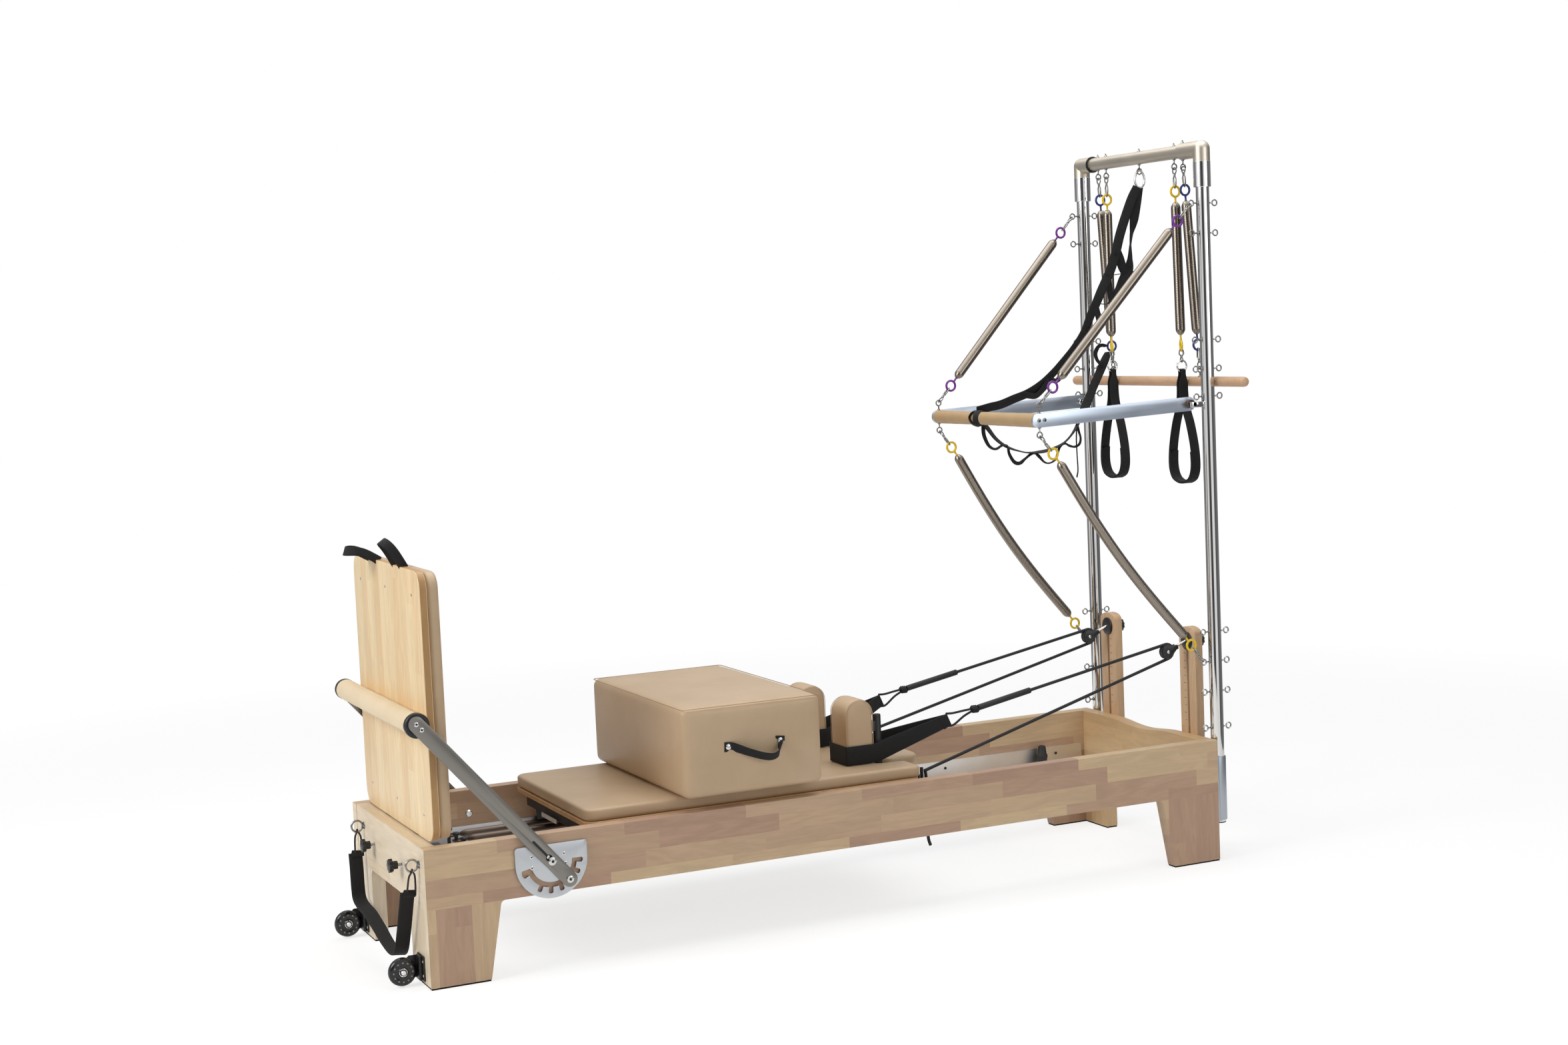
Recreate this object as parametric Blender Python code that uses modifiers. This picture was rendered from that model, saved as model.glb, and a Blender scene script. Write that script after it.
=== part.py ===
"""Pilates reformer with a tower, built sub-part by sub-part in metres.

x runs from the foot end (0) to the head end, near side is -y, the floor is z = 0.
A root empty moves the finished machine so that its origin is under its middle.
"""
import bpy
import bmesh
from math import atan2, copysign, cos, degrees, hypot, pi, radians, sin
from mathutils import Matrix, Vector

GAP = 0.0003            # clearance between two solids that touch

# Wooden frame
FRAME_LENGTH = 2.357
FRAME_WIDTH = 0.700
RAIL_TOP = 0.354
RAIL_BOTTOM = 0.2005
BOARD = 0.038           # thickness of rails and end panels
LEG_FOOT = 0.156        # width of a side leg at the floor
LEG_HEAD = 0.190        # width of a side leg under the rail
END_LEG = 0.159         # width of a leg seen from the end, rail included
END_OPENING_TOP = 0.197
HEAD_DIP = 0.011        # shallow dip in the head panel's top edge
HEAD_DIP_HALF = 0.165
RUBBER = 0.004          # foot pad thickness

# Tracks inside the rails
TRACK_LEG = 0.040       # width of the running flange
TRACK_HEIGHT = 0.052
TRACK_WALL = 0.0035
TRACK_START = 0.060
BUMPER_RADIUS = 0.014
BUMPER_HEIGHT = 0.050
BUMPER_FROM_END = 0.205

# Carriage
CARRIAGE_START = 0.445
CARRIAGE_LENGTH = 0.975
CARRIAGE_HALF = FRAME_WIDTH / 2 - BOARD - 0.017
DECK_BOTTOM = 0.3385
DECK_THICKNESS = 0.014
PAD_THICKNESS = 0.035
PAD_CORNER = 0.030
NOTCH_START = 1.333     # head end notch in the pad, over the steel plate
REST_OUTER = CARRIAGE_HALF - 0.095
NOTCH_HALF = REST_OUTER + 0.002
CARRIAGE_TRAVEL = 0.60
WHEEL_RADIUS = 0.028
WHEEL_WIDTH = 0.014
AXLE_RADIUS = 0.005
FRONT_AXLE_X = 0.520
REAR_AXLE_X = 1.300

# Headrest and shoulder rests
HEADREST_START = 1.374
HEADREST_LENGTH = 0.116
HEADREST_HALF = REST_OUTER - 0.042
HEADREST_THICKNESS = 0.034
REST_START = 1.241
REST_LENGTH = 0.086
REST_WIDTH = 0.100
REST_INNER = REST_OUTER - REST_WIDTH
REST_HEIGHT = 0.181
POST_X = 1.346
POST_Y = REST_OUTER - 0.020
POST_RADIUS = 0.0115
POST_HEIGHT = 0.163

# Sitting box
BOX_START = 0.695
BOX_LENGTH = 0.405
BOX_NEAR = -0.355
BOX_FAR = 0.325
BOX_HEIGHT = 0.241

# Jump board
JUMP_X = 0.034
JUMP_HALF = FRAME_WIDTH / 2 - 0.029
JUMP_BOTTOM = 0.3575
JUMP_HEIGHT = 0.680
JUMP_WOOD = 0.020
JUMP_PAD = 0.032
JUMP_CORNER = 0.045
TONGUE_Y = 0.135
TONGUE_WIDTH = 0.040
TONGUE_THICKNESS = 0.005
TONGUE_BOTTOM = 0.235
TOE_LOOP_Y = 0.118
TOE_LOOP_HALF = 0.056
TOE_LOOP_RISE = 0.052
TOE_LOOP_BAND = 0.003
TOE_LOOP_WIDTH = 0.024
TOE_LOOP_ROOT = 0.012   # how far a loop is sunk in the board

# Foot bar and its quadrant plates
PIVOT_X = 0.3252
PIVOT_Z = 0.2847
BAR_REACH = 0.501       # pivot to the grip's axis
BAR_ANGLE = 130.5       # degrees from +x at the stored notch
BAR_GRIP_RADIUS = 0.0275
BAR_TAIL = 0.088        # pivot to the arm's lower end
ARM_WIDTH = 0.040
ARM_THICKNESS = 0.006
PLATE_THICKNESS = 0.008
PLATE_RADIUS = 0.0955
PLATE_TOP = 0.043       # above the pivot
SLOT_INNER = 0.0545
SLOT_OUTER = 0.0675
NOTCH_REACH = 0.083
NOTCH_STEP = 22.2
ARM_GAP = 0.0022        # running clearance of arm on plate
BOLT_RADIUS = 0.006

# Foot end hardware
CASTER_X = -0.052
CASTER_Y = FRAME_WIDTH / 2 - 0.075
CASTER_Z = 0.039
CASTER_RADIUS = 0.036
CASTER_WIDTH = 0.024
KNOB_Y = 0.135
KNOB_Z = 0.277
KNOB_RADIUS = 0.018
KNOB_LENGTH = 0.011
EYE_Y = FRAME_WIDTH / 2 - 0.069
EYE_Z = 0.309

# Tower
TOWER_SETBACK = 0.025
TOWER_X = FRAME_LENGTH + TOWER_SETBACK
TOWER_HALF = FRAME_WIDTH / 2 - 0.034
TOWER_TOP = 2.048
TUBE_RADIUS = 0.019
SLEEVE_RADIUS = 0.0225
ELBOW_RADIUS = 0.046
SLEEVE_BOTTOM = TOWER_TOP - 0.093
SLEEVE_REACH = 0.105
TUBE_BOTTOM = 0.108
BRACKET_TOP = 0.310
BRACKET_HALF = 0.025
RING_RADIUS = 0.0082    # eyebolt ring, centre of the wire
RING_WIRE = 0.0021
SHANK = 0.013
TOP_EYE_DROP = 0.153
EYE_PITCH = 0.085
EYE_HEIGHTS = (TOWER_TOP - TOP_EYE_DROP, TOWER_TOP - TOP_EYE_DROP - EYE_PITCH, 1.507, 1.424, 1.345, 0.665, 0.578, 0.490, 0.385)
TOP_EYES = (-0.224, -0.180, 0.0, 0.180, 0.224)

# Risers and pulleys
RISER_Y = FRAME_WIDTH / 2 - 0.138
RISER_WIDTH = 0.080
RISER_THICKNESS = 0.026
RISER_BOTTOM = 0.190
RISER_TOP = 0.670
RISER_SLOT = 0.010
PULLEY_Z = 0.628
PULLEY_DROP = 0.025
PULLEY_REACH = 0.072
SHEAVE_RADIUS = 0.0215
SHEAVE_WIDTH = 0.013
CHEEK_THICKNESS = 0.0025
CLAMP_DISC_RADIUS = 0.027
CLAMP_KNOB_RADIUS = 0.020

# Ropes
ROPE_RADIUS = 0.0045
SLEEVE_ROPE_RADIUS = 0.0085
BAND_REACH = 0.140      # from the carriage's end to the tip of the webbing band
KNOT_REACH = 0.076
CLEAT_X = CARRIAGE_START + CARRIAGE_LENGTH + 0.017
CLEAT_Y = CARRIAGE_HALF - 0.033
CLEAT_RADIUS = 0.005
CLEAT_TOP = 0.372
ROPE_HITCH_Z = CLEAT_TOP - 0.010   # where the rope leaves its cleat

# Push-through bar
PUSH_LUG_REACH = 0.049
PUSH_REACH = 0.502
PUSH_PIVOT_X = TOWER_X - PUSH_LUG_REACH
PUSH_PIVOT_Z = 1.325
PUSH_HANDLE_X = PUSH_PIVOT_X - PUSH_REACH
PUSH_HANDLE_Z = 1.306
PUSH_ARM_Y = TOWER_HALF - 0.030     # inner face of each arm
PUSH_ARM_THICKNESS = 0.008
PUSH_ARM_HEIGHT = 0.040
PUSH_GRIP_RADIUS = 0.020
PUSH_ROD_RADIUS = 0.010

# Springs and hanging gear
SPRING_RADIUS = 0.014
SPRING_END = 0.0150     # the colour ring's centreline radius
SPRING_NECK = 0.014     # from the colour ring to the first coil
ROLL_X = TOWER_X + 0.036
ROLL_Z = 1.385
ROLL_HALF = 0.450
ROLL_RADIUS = 0.0145
HANG_X = TOWER_X + 0.004
HANG_Z = 1.440          # where a loop handle's ring hangs in its hook
LOOP_HALF_WIDTH = 0.0160
LOOP_HEIGHT = 0.330
LOOP_HALF = 0.060       # half the loop's reach at its widest
LOOP_NECK = 0.010
LOOP_BOWL = 0.055        # radius of the loop's round bottom
LOOP_SHOULDER = 0.060    # how far below the ring the webbing starts to spread
STRAP_SAG = 0.115
SNAP_WIRE = 0.0018
SEAT_IN_EYE = 0.0029     # a snap's wire rests this far from its eye's centre

RIM = FRAME_WIDTH / 2
INNER = RIM - BOARD
DECK_TOP = DECK_BOTTOM + DECK_THICKNESS
PAD_TOP = DECK_TOP + GAP + PAD_THICKNESS
CARRIAGE_END = CARRIAGE_START + CARRIAGE_LENGTH
EYE_REACH = TUBE_RADIUS + SHANK + RING_RADIUS
LOWEST_X = CASTER_X - CASTER_RADIUS
HIGHEST_X = TOWER_X + EYE_REACH + RING_RADIUS + RING_WIRE
ROOT_X = -(LOWEST_X + HIGHEST_X) / 2

PALETTE = {
    "beech": ((0.62, 0.43, 0.26), 0.45, 0.0),
    "rubber": ((0.02, 0.02, 0.02), 0.8, 0.0),
    "polished_aluminium": ((0.75, 0.76, 0.78), 0.25, 1.0),
    "brushed_steel": ((0.55, 0.54, 0.52), 0.35, 1.0),
    "chrome": ((0.75, 0.75, 0.76), 0.12, 1.0),
    "black_steel": ((0.03, 0.03, 0.03), 0.5, 0.0),
    "black_plastic": ((0.02, 0.02, 0.02), 0.4, 0.0),
    "leather": ((0.60, 0.46, 0.31), 0.5, 0.0),
    "webbing": ((0.01, 0.01, 0.01), 0.9, 0.0),
    "spring_steel": ((0.45, 0.42, 0.38), 0.35, 1.0),
}


def start_scene():
    for obj in list(bpy.data.objects):
        bpy.data.objects.remove(obj)
    collection = bpy.data.collections.new("reformer")
    bpy.context.scene.collection.children.link(collection)
    root = bpy.data.objects.new("reformer_origin", None)
    root.location = (ROOT_X, 0, 0)
    collection.objects.link(root)
    return collection, root


def make_materials():
    for name, (colour, roughness, metallic) in PALETTE.items():
        mat = bpy.data.materials.new(name)
        mat.use_nodes = True
        shader = mat.node_tree.nodes["Principled BSDF"]
        shader.inputs["Base Color"].default_value = (*colour, 1)
        shader.inputs["Roughness"].default_value = roughness
        shader.inputs["Metallic"].default_value = metallic


COLLECTION, ROOT = start_scene()
make_materials()


def link(name, mesh):
    obj = bpy.data.objects.new(name, mesh)
    COLLECTION.objects.link(obj)
    return obj


def bake(obj):
    """Replace an object by its evaluated mesh, with loose caps welded."""
    bpy.context.view_layer.update()
    depsgraph = bpy.context.evaluated_depsgraph_get()
    mesh = bpy.data.meshes.new_from_object(obj.evaluated_get(depsgraph))
    name = obj.name
    matrix = obj.matrix_world.copy()
    bpy.data.objects.remove(obj)
    bm = bmesh.new()
    bm.from_mesh(mesh)
    bm.transform(matrix)
    bmesh.ops.remove_doubles(bm, verts=bm.verts, dist=1e-6)
    bm.to_mesh(mesh)
    bm.free()
    return link(name, mesh)


def from_bmesh(name, bm):
    mesh = bpy.data.meshes.new(name)
    bm.to_mesh(mesh)
    bm.free()
    return link(name, mesh)


def block(name, low, high, bevel=0.0, segments=1):
    """A box between two corners, with its edges rounded by bevel."""
    low, high = Vector(low), Vector(high)
    bm = bmesh.new()
    bmesh.ops.create_cube(bm, size=1)
    bmesh.ops.scale(bm, vec=high - low, verts=bm.verts)
    bmesh.ops.translate(bm, vec=(high + low) / 2, verts=bm.verts)
    obj = from_bmesh(name, bm)
    return rounded(obj, bevel, segments) if bevel else obj


def rounded(obj, width, segments=1):
    modifier = obj.modifiers.new("rounding", "BEVEL")
    modifier.width = width
    modifier.segments = segments
    modifier.limit_method = "ANGLE"
    modifier.angle_limit = radians(50)
    return bake(obj)


def rod(name, start, end, radius, sides=14, end_radius=None):
    """A round bar, or a cone, between two points."""
    start, end = Vector(start), Vector(end)
    span = end - start
    bm = bmesh.new()
    bmesh.ops.create_cone(bm, cap_ends=True, segments=sides, radius1=radius,
                          radius2=radius if end_radius is None else end_radius, depth=span.length)
    turn = Vector((0, 0, 1)).rotation_difference(span.normalized()).to_matrix().to_4x4()
    bm.transform(Matrix.Translation((start + end) / 2) @ turn)
    return from_bmesh(name, bm)


def torus(name, centre, normal, major, minor, major_sides=8, minor_sides=4):
    bpy.ops.mesh.primitive_torus_add(major_radius=major, minor_radius=minor,
                                     major_segments=major_sides, minor_segments=minor_sides)
    obj = bpy.context.object
    mesh = obj.data
    bpy.data.objects.remove(obj)
    turn = Vector((0, 0, 1)).rotation_difference(Vector(normal).normalized()).to_matrix().to_4x4()
    mesh.transform(Matrix.Translation(centre) @ turn)
    return link(name, mesh)


def turned(name, profile, centre, axis, steps=16):
    """A turned piece: profile is (radius, height) up its outer side, bottom to top."""
    mesh = bpy.data.meshes.new(name)
    points = [(radius, 0, height) for radius, height in reversed(profile)]
    mesh.from_pydata(points, [(i, i + 1) for i in range(len(points) - 1)], [])
    obj = link(name, mesh)
    screw = obj.modifiers.new("turn", "SCREW")
    screw.steps = steps
    screw.render_steps = steps
    screw.use_merge_vertices = True
    screw.merge_threshold = 0.00001
    obj = bake(obj)
    turn = Vector((0, 0, 1)).rotation_difference(Vector(axis).normalized()).to_matrix().to_4x4()
    obj.data.transform(Matrix.Translation(centre) @ turn)
    return obj


AXIS_TURN = {"z": Matrix.Identity(4),
             "y": Matrix.Rotation(pi / 2, 4, "X"),
             "x": Matrix(((0, 0, 1, 0), (1, 0, 0, 0), (0, 1, 0, 0), (0, 0, 0, 1)))}


def plate(name, outline, axis, low, high, holes=()):
    """A flat outline with holes, drawn square to an axis and as thick as low to high.

    Axis x takes (y, z) points, axis y takes (x, z) points, axis z takes (x, y) points.
    """
    curve = bpy.data.curves.new(name, "CURVE")
    curve.dimensions = "2D"
    curve.fill_mode = "BOTH"
    curve.extrude = (high - low) / 2
    for points in (outline, *holes):
        spline = curve.splines.new("POLY")
        spline.points.add(len(points) - 1)
        for target, (u, v) in zip(spline.points, points):
            target.co = (u, v, 0, 1)
        spline.use_cyclic_u = True
    obj = bake(link(name, curve))
    middle = (low + high) / 2
    shift = {"x": (middle, 0, 0), "y": (0, middle, 0), "z": (0, 0, middle)}[axis]
    obj.data.transform(Matrix.Translation(shift) @ AXIS_TURN[axis])
    return obj


def pipe(name, points, radius, resolution=2, closed=False):
    """A round tube or cord along a list of points, with filled ends."""
    curve = bpy.data.curves.new(name, "CURVE")
    curve.dimensions = "3D"
    curve.bevel_depth = radius
    curve.bevel_resolution = resolution
    curve.use_fill_caps = not closed
    spline = curve.splines.new("POLY")
    spline.points.add(len(points) - 1)
    for target, point in zip(spline.points, points):
        target.co = (*point, 1)
    spline.use_cyclic_u = closed
    return bake(link(name, curve))


def combine(operation, first, others):
    for other in others:
        modifier = first.modifiers.new(operation.lower(), "BOOLEAN")
        modifier.operation = operation
        modifier.object = other
    name = first.name
    result = bake(first)
    for other in others:
        bpy.data.objects.remove(other)
    result.name = name
    return result


def fuse(first, *others):
    return combine("UNION", first, others)


def carve(first, *cutters):
    return combine("DIFFERENCE", first, cutters)


def gather(name, pieces):
    """Put pieces that don't touch each other into one mesh, ready for a single union."""
    bm = bmesh.new()
    for piece in pieces:
        bm.from_mesh(piece.data)
        bpy.data.objects.remove(piece)
    return from_bmesh(name, bm)


def mirrored(piece, name):
    """The far-side twin of a near-side piece."""
    bm = bmesh.new()
    bm.from_mesh(piece.data)
    bm.transform(Matrix.Scale(-1, 4, (0, 1, 0)))
    bmesh.ops.reverse_faces(bm, faces=bm.faces)
    return from_bmesh(name, bm)


def finish(piece, name, material, pivot=(0, 0, 0), parent=None):
    """Name a sub-part, give it its material and put its origin on its joint's axis."""
    piece.name = name
    piece.data.name = name
    piece.data.materials.clear()
    piece.data.materials.append(bpy.data.materials[material])
    piece.data.transform(Matrix.Translation(-Vector(pivot)))
    piece.location = pivot
    piece.parent = parent or ROOT
    piece.data.shade_smooth()
    piece.data.set_sharp_from_angle(angle=radians(35))
    return piece


def arc(centre, radius, start, end, steps):
    """Points on a circle arc, angles in degrees, both ends included."""
    u, v = centre
    angles = [radians(start + (end - start) * i / steps) for i in range(steps + 1)]
    return [(u + radius * cos(a), v + radius * sin(a)) for a in angles]


def rounded_box_outline(low, high, radius, steps=4):
    (u0, v0), (u1, v1) = low, high
    corners = (((u1 - radius, v1 - radius), 0), ((u0 + radius, v1 - radius), 90),
               ((u0 + radius, v0 + radius), 180), ((u1 - radius, v0 + radius), 270))
    return [p for centre, angle in corners for p in arc(centre, radius, angle, angle + 90, steps)]


def side_pair(piece, name, material, pivot=(0, 0, 0), parents=(None, None)):
    """Finish a near piece and its far twin."""
    twin = mirrored(piece, name + "_far")
    far_pivot = (pivot[0], -pivot[1], pivot[2])
    finish(piece, name + "_near", material, pivot, parents[0])
    finish(twin, name + "_far", material, far_pivot, parents[1])


def eyebolt(base, direction, ring_normal, shank=SHANK, ring=RING_RADIUS, wire=RING_WIRE):
    """A ring on a short shank, standing off base along direction."""
    base, direction = Vector(base), Vector(direction).normalized()
    centre = base + direction * (shank + ring)
    return [rod("shank", base - direction * 0.004, base + direction * (shank + wire * 0.5), wire, 4),
            torus("ring", centre, ring_normal, ring, wire, 8, 3)]


# Frame

def make_side_rails():
    fillet = arc((LEG_HEAD + 0.012, RAIL_BOTTOM - 0.012), 0.012, 180, 90, 3)
    left = [(0, RUBBER), (LEG_FOOT, RUBBER)] + fillet
    right = [(FRAME_LENGTH - x, z) for x, z in reversed(left)]
    outline = left + right + [(FRAME_LENGTH, RAIL_TOP), (0, RAIL_TOP)]
    rail = rounded(plate("rail", outline, "y", -RIM, -INNER), 0.003)
    side_pair(rail, "side_rail", "beech")


def make_end_panels():
    half = INNER - GAP
    leg = RIM - END_LEG
    opening = [(leg, RUBBER), (leg, END_OPENING_TOP - 0.02)]
    opening += arc((leg - 0.02, END_OPENING_TOP - 0.02), 0.02, 0, 90, 4)
    lower = [(half, RUBBER)] + opening + [(-y, z) for y, z in reversed(opening)] + [(-half, RUBBER)]
    flat_top = [(-half, RAIL_TOP), (half, RAIL_TOP)]
    foot = rounded(plate("panel", lower + flat_top, "x", 0, BOARD), 0.002)
    holes = [rod("hole", (-0.01, y, KNOB_Z), (BOARD + 0.01, y, KNOB_Z), 0.0048, 8)
             for y in (-KNOB_Y, KNOB_Y)]
    finish(carve(foot, *holes), "foot_end_panel", "beech")
    steps = 12
    dip = []
    for i in range(steps + 1):
        y = HEAD_DIP_HALF * (2 * i / steps - 1)
        dip.append((y, RAIL_TOP - HEAD_DIP * (1 + cos(pi * y / HEAD_DIP_HALF)) / 2))
    dipped_top = [flat_top[0]] + dip + [flat_top[1]]
    head = rounded(plate("panel", lower + dipped_top, "x", FRAME_LENGTH - BOARD, FRAME_LENGTH), 0.002)
    finish(head, "head_end_panel", "beech")


def make_foot_pads():
    inset = 0.0015
    leg = RIM - END_LEG
    corner = [(inset, -RIM + inset), (LEG_FOOT - inset, -RIM + inset), (LEG_FOOT - inset, -INNER - inset),
              (BOARD - inset, -INNER - inset), (BOARD - inset, -leg - inset), (inset, -leg - inset)]
    foot = plate("pad", corner, "z", 0, RUBBER - GAP)
    head = plate("pad", [(FRAME_LENGTH - x, y) for x, y in reversed(corner)], "z", 0, RUBBER - GAP)
    side_pair(foot, "foot_pad_foot", "rubber")
    side_pair(head, "foot_pad_head", "rubber")


def make_tracks():
    face = -INNER + GAP
    bottom = RAIL_BOTTOM + 0.002
    outline = [(face, bottom), (face + TRACK_LEG, bottom), (face + TRACK_LEG, bottom + TRACK_WALL),
               (face + TRACK_WALL, bottom + TRACK_WALL), (face + TRACK_WALL, bottom + TRACK_HEIGHT),
               (face, bottom + TRACK_HEIGHT)]
    track = plate("track", outline, "x", TRACK_START, FRAME_LENGTH - BOARD - 0.012)
    top = bottom + TRACK_WALL
    centre_y = face + TRACK_LEG / 2 + 0.003
    bumper_x = FRAME_LENGTH - BUMPER_FROM_END
    profile = [(0, -0.002), (BUMPER_RADIUS * 0.8, -0.002), (BUMPER_RADIUS * 0.8, 0.012), (BUMPER_RADIUS, 0.016),
               (BUMPER_RADIUS, BUMPER_HEIGHT - 0.008), (BUMPER_RADIUS * 0.7, BUMPER_HEIGHT), (0, BUMPER_HEIGHT)]
    bumper = turned("bumper", profile, (bumper_x, centre_y, top), (0, 0, 1), 10)
    side_pair(fuse(track, bumper), "track", "polished_aluminium")


TRACK_TOP = RAIL_BOTTOM + 0.002 + TRACK_WALL
SPRING_Z = 0.272
PACK_Y = (-0.14, -0.07, 0.0, 0.07, 0.14)
ANCHOR_X = 0.205
ANCHOR_HALF = 0.016
ANCHOR_THICKNESS = 0.014
HOOK_BAR_X = 0.935
HOOK_BAR_HALF = 0.010
PACK_ROD = 0.005
PACK_END = HOOK_BAR_X - HOOK_BAR_HALF - GAP - PACK_ROD
PEG_RADIUS = 0.005
HOOK_RADIUS = 0.016
HOOK_WIRE = 0.003


def make_spring_anchor_bar():
    half = INNER - TRACK_WALL - 0.001
    bar = block("bar", (ANCHOR_X - ANCHOR_HALF, -half, TRACK_TOP + GAP),
                (ANCHOR_X + ANCHOR_HALF, half, TRACK_TOP + ANCHOR_THICKNESS), 0.002)
    pegs = []
    for y in PACK_Y:
        pegs.append(rod("peg", (ANCHOR_X, y, TRACK_TOP + 0.010), (ANCHOR_X, y, SPRING_Z + 0.018), PEG_RADIUS, 8))
        pegs.append(rod("cap", (ANCHOR_X, y, SPRING_Z + 0.014), (ANCHOR_X, y, SPRING_Z + 0.022), 0.009, 8))
    finish(fuse(bar, *pegs), "spring_anchor_bar", "black_steel")


# Foot bar

def polar(radius, angle, centre=(PIVOT_X, PIVOT_Z)):
    return (centre[0] + radius * cos(radians(angle)), centre[1] + radius * sin(radians(angle)))


def quadrant_slot():
    """The curved slot of a quadrant plate, with its notches, around the pivot."""
    rest = BAR_ANGLE - 180
    notch_half = 4.6
    inner_start, inner_end = rest - 5.3 * NOTCH_STEP, rest + 2 * NOTCH_STEP + notch_half
    outer = []
    angle = inner_start
    centres = [rest + k * NOTCH_STEP for k in (-5, -3, -2, -1, 0, 1, 2)]
    outer.append(polar(SLOT_OUTER, inner_start))
    for centre in centres:
        wide = notch_half * (1.6 if centre == centres[0] else 1)
        outer += [polar(SLOT_OUTER, centre - wide), polar(NOTCH_REACH - 0.002, centre - wide),
                  polar(NOTCH_REACH, centre - wide * 0.5), polar(NOTCH_REACH, centre + wide * 0.5),
                  polar(NOTCH_REACH - 0.002, centre + wide)]
        if centre != centres[-1]:
            outer.append(polar(SLOT_OUTER, centre + wide))
    inner = [polar(SLOT_INNER, inner_end - (inner_end - inner_start) * i / 12) for i in range(13)]
    return outer[1:] + inner


def make_quadrant_plates():
    side = PLATE_RADIUS
    lower = arc((PIVOT_X, PIVOT_Z), PLATE_RADIUS, -180, 0, 20)
    upper = arc((PIVOT_X + side - 0.008, PIVOT_Z + PLATE_TOP - 0.008), 0.008, 0, 90, 3)
    upper += arc((PIVOT_X - side + 0.008, PIVOT_Z + PLATE_TOP - 0.008), 0.008, 90, 180, 3)
    outside = -RIM - GAP
    face = plate("face", lower + upper, "y", outside - PLATE_THICKNESS, outside, [quadrant_slot()])
    pin_end = outside - PLATE_THICKNESS - ARM_GAP - ARM_THICKNESS
    at_pivot = lambda y: (PIVOT_X, y, PIVOT_Z)
    pin = rod("pin", at_pivot(outside - 0.004), at_pivot(pin_end - 0.002), BOLT_RADIUS, 12)
    head = rod("head", at_pivot(pin_end - 0.001), at_pivot(pin_end - 0.006), 0.011, 12)
    side_pair(fuse(face, pin, head), "quadrant_plate", "polished_aluminium")


def make_foot_bar(body):
    """Two flat arms on a core rod that carries the grip; the arms turn on the pivot bolts."""
    along = Vector((cos(radians(BAR_ANGLE)), 0, sin(radians(BAR_ANGLE))))
    pivot = Vector((PIVOT_X, 0, PIVOT_Z))
    inner = -RIM - GAP - PLATE_THICKNESS - ARM_GAP
    half = ARM_WIDTH / 2
    tip = BAR_REACH + 0.026
    tail = BAR_TAIL - half
    flat = arc((-tail, 0), half, 90, 270, 8) + [(tip - 0.012, -half), (tip, -half + 0.012),
                                               (tip, half - 0.012), (tip - 0.012, half)]
    slot_half = BOLT_RADIUS + 0.0006
    keyhole = arc((0, 0), slot_half, -70, -290, 10) + [(0.012, slot_half * 0.8), (0.070, slot_half * 0.6),
                                                        (0.078, 0), (0.070, -slot_half * 0.6),
                                                        (0.012, -slot_half * 0.8)]
    arm = plate("arm", flat, "y", inner - ARM_THICKNESS, inner, [keyhole])
    turn = Matrix.Rotation(-radians(BAR_ANGLE), 4, "Y")
    arm.data.transform(Matrix.Translation(pivot) @ turn)
    lock = pivot - along * SLOT_OUTER
    bolt = rod("bolt", (lock.x, inner - ARM_THICKNESS + 0.001, lock.z),
               (lock.x, inner - ARM_THICKNESS - 0.005, lock.z), 0.009, 10)
    grip_axis = pivot + along * BAR_REACH
    collar = rod("collar", (grip_axis.x, inner - 0.001, grip_axis.z), (grip_axis.x, inner + 0.014, grip_axis.z),
                 BAR_GRIP_RADIUS + 0.002, 18)
    near = fuse(arm, bolt, collar)
    far = mirrored(near, "far_arm")
    core = rod("core", (grip_axis.x, inner + 0.010, grip_axis.z), (grip_axis.x, -inner - 0.010, grip_axis.z),
               0.0125, 12)
    axis_point = (PIVOT_X, 0, PIVOT_Z)
    finish(fuse(near, core, far), "foot_bar_frame", "brushed_steel", axis_point, body)
    end = inner + 0.014 + GAP
    grip = rod("grip", (grip_axis.x, end, grip_axis.z), (grip_axis.x, -end, grip_axis.z), BAR_GRIP_RADIUS, 20)
    grip = rounded(grip, 0.003)
    bore = rod("bore", (grip_axis.x, end - 0.01, grip_axis.z), (grip_axis.x, -end + 0.01, grip_axis.z), 0.0131, 12)
    finish(carve(grip, bore), "foot_bar_grip", "leather", axis_point, body)


# Foot end hardware

def make_casters():
    """Skate-type wheels on fork brackets that touch down only when the head end is lifted."""
    half = CASTER_WIDTH / 2 + 0.0015
    ear = 0.003
    plate_low = (-0.0045, -CASTER_Y - 0.028, 0.012)
    plate_high = (-GAP, -CASTER_Y + 0.028, 0.076)
    base = block("base", plate_low, plate_high)
    outline = [(-0.004, CASTER_Z + 0.026), (-0.004, CASTER_Z - 0.022)]
    outline += arc((CASTER_X, CASTER_Z), 0.011, 270, 90, 5)
    ears = [plate("ear", outline, "y", y, y + ear) for y in (-CASTER_Y - half - ear, -CASTER_Y + half)]
    axle = rod("axle", (CASTER_X, -CASTER_Y - half - ear - 0.003, CASTER_Z),
               (CASTER_X, -CASTER_Y + half + ear + 0.003, CASTER_Z), 0.004, 8)
    side_pair(fuse(base, *ears, axle), "caster_bracket", "black_steel")
    w = CASTER_WIDTH / 2
    profile = [(0.0046, -w), (0.014, -w), (0.017, -w + 0.003), (0.026, -w + 0.001), (CASTER_RADIUS, -w * 0.4),
               (CASTER_RADIUS, w * 0.4), (0.026, w - 0.001), (0.017, w - 0.003), (0.014, w), (0.0046, w),
               (0.0046, -w)]
    centre = (CASTER_X, -CASTER_Y, CASTER_Z)
    side_pair(turned("wheel", profile, centre, (0, 1, 0), 14), "caster_wheel", "rubber", centre)


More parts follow.
